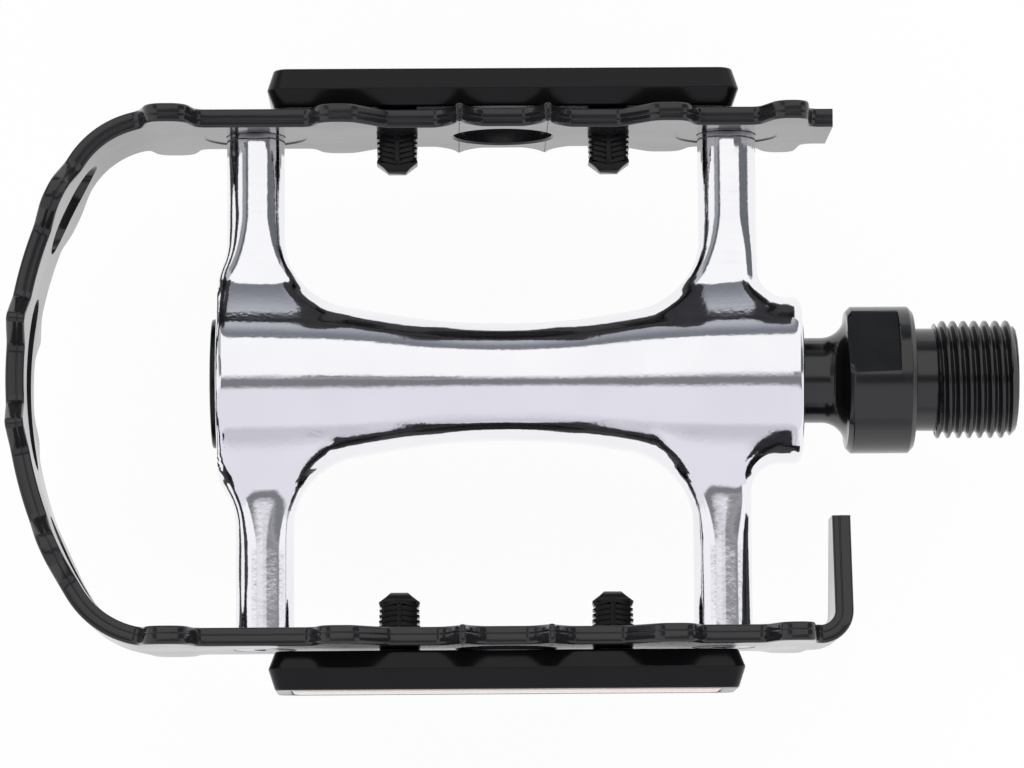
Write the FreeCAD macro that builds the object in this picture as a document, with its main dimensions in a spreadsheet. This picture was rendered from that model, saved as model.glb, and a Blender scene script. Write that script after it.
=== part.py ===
"""Bicycle pedal with a toothed strip cage.

A forged aluminium body, a barrel with four arms, turns on a steel spindle in two rows of loose balls.
A single toothed steel strip is bent round the body, screwed to the arm ends, and carries two reflectors.

Frame: X runs along the spindle towards the crank, Y towards the rear, Z up, in millimetres.
The origin is on the spindle's axis, half way along its crank thread.
Inside this file x is counted from the spindle's shoulder, the face that stops against the crank,
and for the cage and the reflectors from the middle of the platform.
"""

import FreeCAD, Part
import math
import os
import Sketcher
from FreeCAD import Placement, Rotation, Vector

SIZES = {
    # Spindle, outside the barrel
    "thread_dia": 14.1,
    "thread_len": 9.7,
    "thread_chamfer": 0.9,
    "relief_dia": 12.3,
    "relief_len": 2.6,
    "centre_hole_dia": 4.0,
    "centre_hole_depth": 3.0,
    "flange_dia": 17.6,
    "flange_len": 8.0,
    "flange_chamfer": 0.6,
    "rim_len": 1.9,
    "flats_across": 15.0,
    "flats_angle": 31.5,
    "neck_dia": 10.2,
    "neck_flare": 2.9,
    "crank_gap": 5.4,
    # Spindle, inside the barrel
    "shaft_in_dia": 8.6,
    "shaft_out_dia": 7.6,
    "end_dia": 6.0,
    "end_chamfer": 0.5,
    "end_proud": 0.6,
    # Barrel
    "hub_dia": 20.0,
    "hub_len": 69.65,
    "waist_dia": 14.0,
    "waist_half": 27.0,
    "waist_flat": 9.5,
    "waist_ease": 6.0,
    "bore_dia": 10.0,
    "in_bore_dia": 17.0,
    "in_bore_depth": 7.3,
    "out_bore_dia": 15.5,
    "out_bore_depth": 14.5,
    # Arms
    "platform_mid": 48.8,
    "arm_dia": 7.0,
    "arm_rear_out": 29.7,
    "arm_rear_in": 26.9,
    "arm_front_out": 28.7,
    "arm_front_in": 25.9,
    "blend_inner": 7.5,
    "blend_out_end": 7.0,
    "blend_in_end": 3.5,
    # Bearings
    "ball_dia": 3.175,
    "inboard_ball_count": 10,
    "outboard_ball_count": 10,
    "ball_from_seat": 2.8,
    "race_gap": 0.03,
    "race_depth": 0.3,
    "race_step": 0.4,
    "race_land": 0.2,
    "cup_len": 4.6,
    "press_gap": 0.02,
    "cone_dia": 8.0,
    "cone_len": 5.6,
    "cone_nose": 0.9,
    "cone_gap": 0.5,
    "thread_gap": 0.03,
    "washer_dia": 11.0,
    "washer_len": 0.9,
    "nut_across": 10.0,
    "nut_len": 2.8,
    "seal_len": 1.6,
    "seal_recess": 0.4,
    "seal_gap": 0.15,
    # Dust cap
    "cap_dome": 0.75,
    "cap_rim": 0.45,
    "cap_disc": 1.2,
    "cap_skirt": 4.0,
    "cap_wall": 1.3,
    # Cage strip; the last two are where the tooth lines meet in its corners, as shares of their radius
    "cage_half": 31.92,
    "strip": 2.2,
    "bow_tip": 59.1,
    "bow_radius": 50.0,
    "corner_radius": 12.0,
    "rear_end": 39.3,
    "tab_x": 41.0,
    "tab_bend": 4.0,
    "tab_end": 16.5,
    "tab_tip_half": 3.2,
    "plate_line_from": 0.75,
    "bow_line_from": 0.3,
    # Teeth on both edges of the strip, as heights from its middle line
    "tooth_half": 12.0,
    "end_tooth_half": 13.1,
    "arm_valley": 8.4,
    "peg_valley": 7.5,
    "mid_valley": 8.3,
    "end_half": 6.6,
    "tooth_x": 19.9,
    "tooth_top": 3.8,
    "tooth_steep": 1.3,
    "tooth_slope": 4.3,
    "bump_x": 5.25,
    "bump_top": 0.8,
    "bump_flank": 2.5,
    "bump_radius": 6.0,
    "out_tooth_x": 39.9,
    "out_tooth_top": 4.6,
    "in_tooth_x": 34.1,
    "in_tooth_top": 3.7,
    "in_tooth_slope": 2.0,
    "in_tooth_steep": 0.7,
    "bow_shift": 0.5,
    "bow_tooth_y": 20.9,
    "bow_tooth_top": 2.6,
    "bow_bump_y": 6.2,
    "bow_bump_top": 0.9,
    "bow_flank": 2.5,
    # Openings in the strip
    "mid_hole_dia": 11.8,
    "seat_dia": 12.4,
    "seat_depth": 0.35,
    "bow_slot_len": 20.6,
    "bow_slot_high": 6.4,
    "corner_slot_y": 21.1,
    "corner_slot_len": 10.6,
    "corner_slot_high": 8.0,
    # Cage screws
    "screw_dia": 4.0,
    "screw_head": 7.4,
    "screw_len": 12.0,
    "screw_gap": 0.1,
    "screw_hex": 2.5,
    "screw_hex_deep": 1.4,
    "tap_spare": 2.0,
    # Reflectors
    "reflector_len": 56.3,
    "reflector_high": 14.6,
    "reflector_back": 1.9,
    "reflector_front": 2.5,
    "reflector_corner": 2.0,
    "reflector_draft": 23.0,
    "reflector_gap": 0.72,
    "lens_margin": 2.6,
    "lens_thick": 1.0,
    "lens_gap": 0.1,
    "lens_corner": 1.0,
    # Reflector pegs
    "peg_x": 12.7,
    "peg_wide": 4.9,
    "peg_high": 4.4,
    "peg_core": 3.2,
    "peg_neck": 4.2,
    "peg_hole_gap": 0.1,
    "peg_body": 3.2,
    "peg_tip": 1.2,
    "peg_tip_wide": 2.15,
    "peg_ribs": 5,
    "peg_rib": 0.36,
    "peg_spine": 0.7,
}

# Places along the spindle, from the shoulder
THREAD_TIP = "(dim.relief_len + dim.thread_len)"
THREAD_MID = "(dim.relief_len + dim.thread_len / 2)"
HUB_IN = "(-dim.flange_len - dim.crank_gap)"
HUB_OUT = f"({HUB_IN} - dim.hub_len)"
RACE_R = "(dim.ball_dia / 2 + dim.race_gap)"
IN_SEAT = f"({HUB_IN} - dim.in_bore_depth)"
IN_BALL = f"({IN_SEAT} + dim.ball_from_seat)"
IN_PITCH = f"(dim.shaft_in_dia / 2 + {RACE_R} - dim.race_depth)"
OUT_SEAT = f"({HUB_OUT} + dim.out_bore_depth)"
OUT_BALL = f"({OUT_SEAT} - dim.ball_from_seat)"
OUT_PITCH = f"(dim.cone_dia / 2 + {RACE_R} - dim.race_depth)"
CONE_IN = f"({OUT_BALL} + dim.cone_nose)"
CONE_OUT = f"({CONE_IN} - dim.cone_len)"
WASHER_OUT = f"({CONE_OUT} - dim.washer_len)"
NUT_OUT = f"({WASHER_OUT} - dim.nut_len)"
SPINDLE_END = f"({NUT_OUT} - dim.end_proud)"
END_BORE_R = "(dim.end_dia / 2 + dim.thread_gap)"

# The strip's inner faces, and the arm ends seated in them
PLATE_IN = "(dim.cage_half - dim.strip)"
ARM_END = f"({PLATE_IN} + dim.seat_depth)"
PEG_HOLE_R = "(dim.peg_neck / 2 + dim.peg_hole_gap)"
SCREW_HOLE_R = "(dim.screw_dia / 2 + dim.screw_gap)"
SCREW_HEAD_HIGH = "((dim.screw_head - dim.screw_dia) / 2)"

# Each arm: name, side along Y, place along X from the middle of the platform
ARMS = [
    ("rear_out", 1, "-dim.arm_rear_out"),
    ("rear_in", 1, "dim.arm_rear_in"),
    ("front_out", -1, "-dim.arm_front_out"),
    ("front_in", -1, "dim.arm_front_in"),
]

doc = FreeCAD.newDocument("cage_pedal")
sheet = doc.addObject("Spreadsheet::Sheet", "dim")
nodes = []


def fill_sheet():
    for row, (alias, number) in enumerate(SIZES.items(), start=1):
        sheet.set(f"A{row}", alias)
        sheet.set(f"B{row}", str(number))
        sheet.setAlias(f"B{row}", alias)
    doc.recompute()


def size(alias):
    return float(sheet.get(alias))


def worth(owner, expression):
    return float(owner.evalExpression(expression))


def bind(owner, **expressions):
    for prop, expression in expressions.items():
        owner.setExpression(prop.replace("__", "."), expression)


def keep(owner, name, datum=None):
    """Name a finished sub-part and shift it from its own datum to the part's origin."""
    owner.Label = name
    from_thread = f"-{THREAD_MID}" if datum is None else f"-{THREAD_MID} + {datum}"
    bind(owner, Placement__Base__x=from_thread)
    nodes.append(owner)


def new_body(name):
    return doc.addObject("PartDesign::Body", name + "_body")


def origin_part(body, role):
    return next(part for part in body.Origin.OriginFeatures if part.Role == role)


def new_sketch(body, name, role, offset=None):
    sketch = body.newObject("Sketcher::SketchObject", name)
    sketch.AttachmentSupport = [(origin_part(body, role), "")]
    sketch.MapMode = "FlatFace"
    if offset:
        bind(sketch, AttachmentOffset__Base__z=offset)
    return sketch


def add_bound(sketch, constraint, expression):
    index = sketch.addConstraint(constraint)
    sketch.setExpression(f"Constraints[{index}]", expression)


def arc_between(start, end, radius):
    """Short arc from start to end: a positive radius turns left, a negative one right."""
    chord = end - start
    half = chord.Length / 2
    side = 1 if radius > 0 else -1
    left = Vector(-chord.y, chord.x, 0) / chord.Length
    centre = (start + end) / 2 + left * side * math.sqrt(max(radius**2 - half**2, 0))
    first, last = (start, end) if radius > 0 else (end, start)
    circle = Part.Circle(centre, Vector(0, 0, 1), abs(radius))
    return Part.ArcOfCircle(circle, circle.parameter(first), circle.parameter(last))


def outline(sketch, corners):
    """Closed outline through corners written as expressions.

    A third item makes the run that ends at that corner an arc of that radius, and a fourth its turn.
    """
    points = [Vector(worth(sketch, corner[0]), worth(sketch, corner[1]), 0) for corner in corners]
    runs = []
    for i, corner in enumerate(corners):
        start, end = points[i - 1], points[i]
        if len(corner) == 2:
            runs.append((sketch.addGeometry(Part.LineSegment(start, end)), 1, 2))
            continue
        turn = corner[3]
        arc = sketch.addGeometry(arc_between(start, end, turn * worth(sketch, corner[2])))
        runs.append((arc, 1, 2) if turn > 0 else (arc, 2, 1))
    for i, corner in enumerate(corners):
        run, _, end = runs[i]
        following, begin, _ = runs[(i + 1) % len(runs)]
        sketch.addConstraint(Sketcher.Constraint("Coincident", run, end, following, begin))
        add_bound(sketch, Sketcher.Constraint("DistanceX", -1, 1, run, end, points[i].x), corner[0])
        add_bound(sketch, Sketcher.Constraint("DistanceY", -1, 1, run, end, points[i].y), corner[1])
        if len(corner) > 2:
            add_bound(sketch, Sketcher.Constraint("Radius", run, worth(sketch, corner[2])), corner[2])


def ring(sketch, x, y, radius):
    """Circle with its centre and radius written as expressions."""
    centre = Vector(worth(sketch, x), worth(sketch, y), 0)
    circle = sketch.addGeometry(Part.Circle(centre, Vector(0, 0, 1), worth(sketch, radius)))
    add_bound(sketch, Sketcher.Constraint("DistanceX", -1, 1, circle, 3, centre.x), x)
    add_bound(sketch, Sketcher.Constraint("DistanceY", -1, 1, circle, 3, centre.y), y)
    add_bound(sketch, Sketcher.Constraint("Radius", circle, worth(sketch, radius)), radius)


def box_corners(x, y, half_x, half_y):
    return [
        (f"{x} - {half_x}", f"{y} - {half_y}"),
        (f"{x} + {half_x}", f"{y} - {half_y}"),
        (f"{x} + {half_x}", f"{y} + {half_y}"),
        (f"{x} - {half_x}", f"{y} + {half_y}"),
    ]


def rounded_box(half_x, half_y, radius):
    """Rectangle about the sketch's origin with round corners, drawn anticlockwise."""
    return [
        (f"{half_x} - {radius}", f"-{half_y}"),
        (half_x, f"-{half_y} + {radius}", radius, 1),
        (half_x, f"{half_y} - {radius}"),
        (f"{half_x} - {radius}", half_y, radius, 1),
        (f"-{half_x} + {radius}", half_y),
        (f"-{half_x}", f"{half_y} - {radius}", radius, 1),
        (f"-{half_x}", f"-{half_y} + {radius}"),
        (f"-{half_x} + {radius}", f"-{half_y}", radius, 1),
    ]


def oblong(middle, length, high):
    """Slot with round ends along the sketch's X, drawn anticlockwise as four quarter-round corners."""
    half = f"({length} / 2)"
    end = f"({high} / 2)"
    return [
        (f"{middle} + {half} - {end}", f"-{end}"),
        (f"{middle} + {half}", "0", end, 1),
        (f"{middle} + {half} - {end}", end, end, 1),
        (f"{middle} - {half} + {end}", end),
        (f"{middle} - {half}", "0", end, 1),
        (f"{middle} - {half} + {end}", f"-{end}", end, 1),
    ]


def turned(body, name, corners):
    """Solid turned about X from corners of distance along the axis and radius."""
    sketch = new_sketch(body, name + "_section", "XY_Plane")
    outline(sketch, corners)
    feature = body.newObject("PartDesign::Revolution", name)
    feature.Profile = sketch
    feature.ReferenceAxis = (sketch, ["H_Axis"])
    feature.Angle = 360
    return feature


def race(body, name, x, pitch):
    """Ball track: a round groove about X."""
    sketch = new_sketch(body, name + "_section", "XY_Plane")
    ring(sketch, x, pitch, RACE_R)
    groove = body.newObject("PartDesign::Groove", name)
    groove.Profile = sketch
    groove.ReferenceAxis = (sketch, ["H_Axis"])
    groove.Angle = 360


def cut(body, sketch, name, length=None, sides="One side", backwards=False):
    """Pocket through everything, or of a given depth."""
    doc.recompute()
    before = body.Shape.Volume
    pocket = body.newObject("PartDesign::Pocket", name)
    pocket.Profile = sketch
    pocket.SideType = sides
    pocket.Reversed = backwards
    if length:
        bind(pocket, Length=length)
    else:
        pocket.Type = "ThroughAll"
        pocket.Type2 = "ThroughAll"
    doc.recompute()
    if body.Shape.Volume >= before:
        raise ValueError(f"{name} removes nothing")
    return pocket


def raised(body, sketch, name, length, sides="One side", backwards=False, draft=None):
    pad = body.newObject("PartDesign::Pad", name)
    pad.Profile = sketch
    pad.SideType = sides
    pad.Reversed = backwards
    bind(pad, Length=length)
    if draft:
        bind(pad, TaperAngle=draft)
    return pad


def make_spindle():
    body = new_body("spindle")
    thread_r = "dim.thread_dia / 2"
    flange_r = "dim.flange_dia / 2"
    step = f"({CONE_IN} + dim.cone_gap)"
    turned(body, "spindle_turning", [
        (THREAD_TIP, "0"),
        (THREAD_TIP, f"{thread_r} - dim.thread_chamfer"),
        (f"{THREAD_TIP} - dim.thread_chamfer", thread_r),
        ("dim.relief_len", thread_r),
        ("dim.relief_len", "dim.relief_dia / 2"),
        ("0", "dim.relief_dia / 2"),
        ("0", f"{flange_r} - dim.flange_chamfer"),
        ("-dim.flange_chamfer", flange_r),
        ("-dim.flange_len + dim.flange_chamfer", flange_r),
        ("-dim.flange_len", f"{flange_r} - dim.flange_chamfer"),
        ("-dim.flange_len", "dim.neck_dia / 2 + dim.neck_flare"),
        ("-dim.flange_len - dim.neck_flare", "dim.neck_dia / 2", "dim.neck_flare", -1),
        (f"{IN_BALL} + dim.race_step", "dim.neck_dia / 2"),
        (f"{IN_BALL} + dim.race_step", "dim.shaft_in_dia / 2"),
        (f"{IN_BALL} - {RACE_R}", "dim.shaft_in_dia / 2"),
        (step, "dim.shaft_out_dia / 2"),
        (step, "dim.end_dia / 2"),
        (f"{SPINDLE_END} + dim.end_chamfer", "dim.end_dia / 2"),
        (SPINDLE_END, "dim.end_dia / 2 - dim.end_chamfer"),
        (SPINDLE_END, "0"),
    ])
    race(body, "spindle_race", IN_BALL, IN_PITCH)
    centre = new_sketch(body, "centre_hole_section", "XY_Plane")
    outline(centre, [
        (f"{THREAD_TIP} - dim.centre_hole_depth", "0"),
        (THREAD_TIP, "0"),
        (THREAD_TIP, "dim.centre_hole_dia / 2"),
    ])
    hole = body.newObject("PartDesign::Groove", "centre_hole")
    hole.Profile = centre
    hole.ReferenceAxis = (centre, ["H_Axis"])
    hole.Angle = 360
    flats = new_sketch(body, "spanner_flats_section", "XZ_Plane")
    for side in ("", "-"):
        outline(flats, [
            ("-dim.flange_len - dim.neck_flare", f"{side}dim.flats_across / 2"),
            ("-dim.rim_len", f"{side}dim.flats_across / 2"),
            ("-dim.rim_len", f"{side}dim.flange_dia"),
            ("-dim.flange_len - dim.neck_flare", f"{side}dim.flange_dia"),
        ])
    cut(body, flats, "spanner_flats", sides="Symmetric")
    body.Placement = Placement(Vector(), Rotation(Vector(1, 0, 0), -size("flats_angle")))
    keep(body, "spindle")


def make_bearing(name, seat, ball, pitch, bore, towards_crank):
    """Pressed cup with its track, and its row of balls."""
    sign = "" if towards_crank else "-"
    outer = f"({bore} / 2 - dim.press_gap)"
    face = f"({seat} + {sign}1 * dim.cup_len)"
    shoulder = f"({ball} - {sign}1 * dim.race_step)"
    lip = f"({pitch} + {RACE_R} - dim.race_depth)"
    land = f"({pitch} + dim.race_land)"
    cup = new_body(name + "_bearing_cup")
    turned(cup, name + "_cup_turning", [
        (seat, land),
        (seat, outer),
        (face, outer),
        (face, lip),
        (shoulder, lip),
        (shoulder, land),
    ])
    race(cup, name + "_cup_race", ball, pitch)
    keep(cup, name + "_bearing_cup")
    count = int(size(name + "_ball_count"))
    balls = []
    for i in range(count):
        turn = 360 * i / count
        sphere = doc.addObject("Part::Sphere", f"{name}_ball")
        bind(sphere, Radius="dim.ball_dia / 2", Placement__Base__x=ball)
        bind(sphere, Placement__Base__y=f"{pitch} * cos({turn} deg)")
        bind(sphere, Placement__Base__z=f"{pitch} * sin({turn} deg)")
        balls.append(sphere)
    row = doc.addObject("Part::Compound", name + "_ball_row")
    row.Links = balls
    keep(row, name + "_balls")


def make_adjuster():
    """Cone, washer and nut on the spindle's outer end."""
    cone = new_body("adjusting_cone")
    shoulder = f"({OUT_BALL} - dim.race_step)"
    turned(cone, "cone_turning", [
        (CONE_IN, END_BORE_R),
        (CONE_IN, "dim.cone_dia / 2"),
        (shoulder, "dim.cone_dia / 2"),
        (shoulder, f"{OUT_PITCH} - dim.race_land"),
        (CONE_OUT, f"{OUT_PITCH} - dim.race_land"),
        (CONE_OUT, END_BORE_R),
    ])
    race(cone, "cone_race", OUT_BALL, OUT_PITCH)
    keep(cone, "adjusting_cone")
    washer = new_body("lock_washer")
    turned(washer, "washer_turning", [
        (CONE_OUT, END_BORE_R),
        (CONE_OUT, "dim.washer_dia / 2"),
        (WASHER_OUT, "dim.washer_dia / 2"),
        (WASHER_OUT, END_BORE_R),
    ])
    keep(washer, "lock_washer")
    blank = doc.addObject("Part::Prism", "nut_blank")
    blank.Polygon = 6
    bind(blank, Circumradius="dim.nut_across / 2 / cos(30 deg)", Height="dim.nut_len")
    hole = doc.addObject("Part::Cylinder", "nut_hole")
    bind(hole, Radius=END_BORE_R, Height="dim.nut_len")
    for solid in (blank, hole):
        solid.Placement = Placement(Vector(), Rotation(Vector(0, 1, 0), 90))
        bind(solid, Placement__Base__x=NUT_OUT)
    nut = doc.addObject("Part::Cut", "nut_cut")
    nut.Base = blank
    nut.Tool = hole
    keep(nut, "lock_nut")


def make_dust_cap():
    body = new_body("dust_cap")
    outer = "(dim.out_bore_dia / 2 - dim.press_gap)"
    rise = "(dim.cap_dome - dim.cap_rim)"
    turned(body, "cap_turning", [
        (f"{HUB_OUT} + dim.cap_disc", "0"),
        (f"{HUB_OUT} - dim.cap_dome", "0"),
        (f"{HUB_OUT} - dim.cap_rim", outer, f"({outer}^2 + {rise}^2) / (2 * {rise})", -1),
        (f"{HUB_OUT} + dim.cap_skirt", outer),
        (f"{HUB_OUT} + dim.cap_skirt", f"{outer} - dim.cap_wall"),
        (f"{HUB_OUT} + dim.cap_disc", f"{outer} - dim.cap_wall"),
    ])
    keep(body, "dust_cap")


def make_seal():
    body = new_body("inboard_seal")
    outer = "(dim.in_bore_dia / 2 - dim.press_gap)"
    inner = "(dim.neck_dia / 2 + dim.seal_gap)"
    face = f"({HUB_IN} - dim.seal_recess)"
    turned(body, "seal_turning", [
        (face, inner),
        (face, outer),
        (f"{face} - dim.seal_len", outer),
        (f"{face} - dim.seal_len", inner),
    ])
    keep(body, "inboard_seal")


def cylinder(name, radius, height, turn, x, y="0"):
    """Cylinder from a point in the plane Z = 0, turned from its rise along Z."""
    solid = doc.addObject("Part::Cylinder", name)
    bind(solid, Radius=radius, Height=height)
    solid.Placement = Placement(Vector(), turn)
    bind(solid, Placement__Base__x=x, Placement__Base__y=y)
    return solid


def joined(name, solids):
    fuse = doc.addObject("Part::MultiFuse", name)
    fuse.Shapes = solids
    return fuse


def barrel_blank():
    """Barrel longer than it ends up, with a smooth waist: a cubic spline turned about X."""
    radius = size("hub_dia") / 2
    waist = size("waist_dia") / 2
    # On a cubic with these poles the waist comes out a 24th of the way from its poles to the ends.
    pole = (24 * waist - radius) / 23
    spare = size("blend_out_end") + size("arm_dia")
    mid = -size("platform_mid")
    inner = worth(sheet, HUB_IN) + spare
    outer = worth(sheet, HUB_OUT) - spare
    half, flat, ease = size("waist_half"), size("waist_flat"), size("waist_ease")
    runs = [
        (outer, radius),
        (mid - half - ease, radius),
        (mid - half + ease, radius),
        (mid - flat, pole),
        (mid + flat, pole),
        (mid + half - ease, radius),
        (mid + half + ease, radius),
        (inner, radius),
    ]
    curve = Part.BSplineCurve()
    curve.buildFromPoles([Vector(x, 0, -r) for x, r in runs], False, 3)
    ends = [Vector(inner, 0, -radius), Vector(inner, 0, 0), Vector(outer, 0, 0), Vector(outer, 0, -radius)]
    edges = [curve.toShape(), *Part.makePolygon(ends).Edges]
    blank = doc.addObject("Part::Feature", "barrel_blank")
    blank.Shape = Part.Face(Part.Wire(edges)).revolve(Vector(), Vector(1, 0, 0), 360)
    return blank


def arm_halves(name, side, x):
    """Arm as two half-round rods, so that its root edge is split on the arm's inner and outer sides."""
    halves = []
    for turn in (0, 180):
        half = doc.addObject("Part::Cylinder", f"arm_{name}")
        half.Angle = 180
        bind(half, Radius="dim.arm_dia / 2", Height=ARM_END)
        along_y = Rotation(Vector(1, 0, 0), -90 * side)
        half.Placement = Placement(Vector(), along_y * Rotation(Vector(0, 0, 1), turn))
        bind(half, Placement__Base__x=f"-dim.platform_mid + {x}")
        halves.append(half)
    return halves


def root_radii(blank):
    """Blend radius at both ends of every arm root edge: wide on an arm's inner side, less outside."""
    mid = -size("platform_mid")
    arm_r = size("arm_dia") / 2
    places = [(side, mid + worth(sheet, x)) for _, side, x in ARMS]
    radii = []
    for index, edge in enumerate(blank.Shape.Edges, start=1):
        spot = edge.CenterOfMass
        from_axis = math.hypot(spot.y, spot.z)
        at_root = size("waist_dia") / 2 < from_axis < size("hub_dia") / 2 + arm_r
        if not at_root or abs(spot.y) < arm_r:
            continue
        side, centre = min(places, key=lambda place: (place[0] * spot.y < 0, abs(place[1] - spot.x)))
        if abs(spot.x - centre) > arm_r or edge.BoundBox.ZLength < arm_r / 100:
            continue
        inward = 1 if centre < mid else -1
        outside = size("blend_out_end") if centre < mid else size("blend_in_end")
        ends = []
        for vertex in (edge.Vertexes[0], edge.Vertexes[-1]):
            share = (inward * (vertex.X - centre) / arm_r + 1) / 2
            ends.append(outside + (size("blend_inner") - outside) * share)
        radii.append((index, *ends))
    return radii


def make_pedal_body():
    solids = [barrel_blank()]
    for name, side, x in ARMS:
        solids += arm_halves(name, side, x)
    blank = joined("body_blank", solids)
    doc.recompute()
    blends = doc.addObject("Part::Fillet", "body_blends")
    blends.Base = blank
    blends.Edges = root_radii(blank)
    span = doc.addObject("Part::Box", "barrel_span")
    bind(span, Length="dim.hub_len", Width="2 * dim.cage_half", Height="2 * dim.hub_dia")
    bind(span, Placement__Base__x=HUB_OUT, Placement__Base__y="-dim.cage_half")
    bind(span, Placement__Base__z="-dim.hub_dia")
    trimmed = doc.addObject("Part::Common", "body_trimmed")
    trimmed.Base = blends
    trimmed.Tool = span
    along_x = Rotation(Vector(0, 1, 0), 90)
    bores = [
        cylinder("through_bore", "dim.bore_dia / 2", "dim.hub_len", along_x, HUB_OUT),
        cylinder("inboard_bore", "dim.in_bore_dia / 2", "dim.in_bore_depth", along_x, IN_SEAT),
        cylinder("outboard_bore", "dim.out_bore_dia / 2", "dim.out_bore_depth", along_x, HUB_OUT),
    ]
    deep = "dim.screw_len + dim.tap_spare"
    for name, side, x in ARMS:
        along_y = Rotation(Vector(1, 0, 0), 90 * side)
        place = f"-dim.platform_mid + {x}"
        tap = "dim.screw_dia / 2 + dim.thread_gap"
        bores.append(cylinder(f"tapped_hole_{name}", tap, deep, along_y, place, f"{side} * {ARM_END}"))
    body = doc.addObject("Part::Cut", "pedal_body_cut")
    body.Base = trimmed
    body.Tool = joined("body_bores", bores)
    keep(body, "pedal_body")


def strip_path():
    """Outline of the bent strip seen from above, from the rear plate's end round the bow to the tab."""
    wide, thin = "dim.cage_half", "dim.strip"
    bow_x = "(dim.bow_radius - dim.bow_tip)"
    reach = "(dim.bow_radius - dim.corner_radius)"
    corner_y = "(dim.cage_half - dim.corner_radius)"
    corner_x = f"({bow_x} - sqrt({reach}^2 - {corner_y}^2))"
    lean_x = f"(({corner_x} - {bow_x}) / {reach})"
    lean_y = f"({corner_y} / {reach})"
    bend_x = "(dim.tab_x - dim.tab_bend)"
    bend_y = "(-dim.cage_half + dim.tab_bend)"
    inner_bow = "(dim.bow_radius - dim.strip)"
    inner_corner = "(dim.corner_radius - dim.strip)"
    outer_x, outer_y = f"{bow_x} + dim.bow_radius * {lean_x}", f"dim.bow_radius * {lean_y}"
    inner_x, inner_y = f"{bow_x} + {inner_bow} * {lean_x}", f"{inner_bow} * {lean_y}"
    return [
        ("dim.rear_end", wide),
        (corner_x, wide),
        (outer_x, outer_y, "dim.corner_radius", 1),
        (outer_x, f"-{outer_y}", "dim.bow_radius", 1),
        (corner_x, f"-{wide}", "dim.corner_radius", 1),
        (bend_x, f"-{wide}"),
        ("dim.tab_x", bend_y, "dim.tab_bend", 1),
        ("dim.tab_x", "-dim.tab_end"),
        (f"dim.tab_x - {thin}", "-dim.tab_end"),
        (f"dim.tab_x - {thin}", bend_y),
        (bend_x, f"-{wide} + {thin}", f"dim.tab_bend - {thin}", -1),
        (corner_x, f"-{wide} + {thin}"),
        (inner_x, f"-{inner_y}", inner_corner, -1),
        (inner_x, inner_y, inner_bow, -1),
        (corner_x, f"{wide} - {thin}", inner_corner, -1),
        ("dim.rear_end", f"{wide} - {thin}"),
    ]


def plate_teeth():
    """Upper edge of the plates from the bow's corner to the tab, with x, height and any flank radius."""
    big, tooth = "dim.end_tooth_half", "dim.tooth_half"
    arm, peg, mid = "dim.arm_valley", "dim.peg_valley", "dim.mid_valley"
    bump = "dim.bump_top / 2"
    foot = f"{bump} - dim.bump_flank"
    top = "dim.tooth_top / 2"
    edge = [
        ("-dim.bow_tip + dim.corner_radius * dim.plate_line_from", arm),
        ("-dim.out_tooth_x - dim.out_tooth_top / 2 - dim.tooth_steep", arm),
        ("-dim.out_tooth_x - dim.out_tooth_top / 2", big),
        ("-dim.out_tooth_x + dim.out_tooth_top / 2", big),
        ("-dim.out_tooth_x + dim.out_tooth_top / 2 + dim.tooth_steep", arm),
        (f"-dim.tooth_x - {top} - dim.tooth_steep", arm),
        (f"-dim.tooth_x - {top}", tooth),
        (f"-dim.tooth_x + {top}", tooth),
        (f"-dim.tooth_x + {top} + dim.tooth_slope", peg),
    ]
    for centre, before, after in (("-dim.bump_x", peg, mid), ("dim.bump_x", mid, peg)):
        edge += [
            (f"{centre} - {bump} - dim.bump_flank", before),
            (f"{centre} - {bump}", tooth, "dim.bump_radius", 1),
            (f"{centre} + {bump}", tooth),
            (f"{centre} + {bump} + dim.bump_flank", after, "dim.bump_radius", 1),
        ]
    edge += [
        (f"dim.tooth_x - {top} - dim.tooth_slope", peg),
        (f"dim.tooth_x - {top}", tooth),
        (f"dim.tooth_x + {top}", tooth),
        (f"dim.tooth_x + {top} + dim.tooth_steep", arm),
        ("dim.in_tooth_x - dim.in_tooth_top / 2 - dim.in_tooth_slope", arm),
        ("dim.in_tooth_x - dim.in_tooth_top / 2", big),
        ("dim.in_tooth_x + dim.in_tooth_top / 2", big),
        ("dim.in_tooth_x + dim.in_tooth_top / 2 + dim.in_tooth_steep", "dim.end_half"),
        ("dim.tab_x + dim.strip", "dim.end_half"),
    ]
    return edge


def bow_teeth():
    """Upper edge of the bow, with y and height."""
    tooth, arm, mid = "dim.tooth_half", "dim.arm_valley", "dim.peg_valley"
    start = "(dim.cage_half - dim.corner_radius * dim.bow_line_from)"
    edge = [(f"-{start}", arm)]
    teeth = [
        ("(dim.bow_shift - dim.bow_tooth_y)", "dim.bow_tooth_top", arm, arm),
        ("(dim.bow_shift - dim.bow_bump_y)", "dim.bow_bump_top", arm, mid),
        ("(dim.bow_shift + dim.bow_bump_y)", "dim.bow_bump_top", mid, arm),
        ("(dim.bow_shift + dim.bow_tooth_y)", "dim.bow_tooth_top", arm, arm),
    ]
    for centre, top, before, after in teeth:
        edge += [
            (f"{centre} - {top} / 2 - dim.bow_flank", before),
            (f"{centre} - {top} / 2", tooth),
            (f"{centre} + {top} / 2", tooth),
            (f"{centre} + {top} / 2 + dim.bow_flank", after),
        ]
    return [*edge, (start, arm)]


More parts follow.
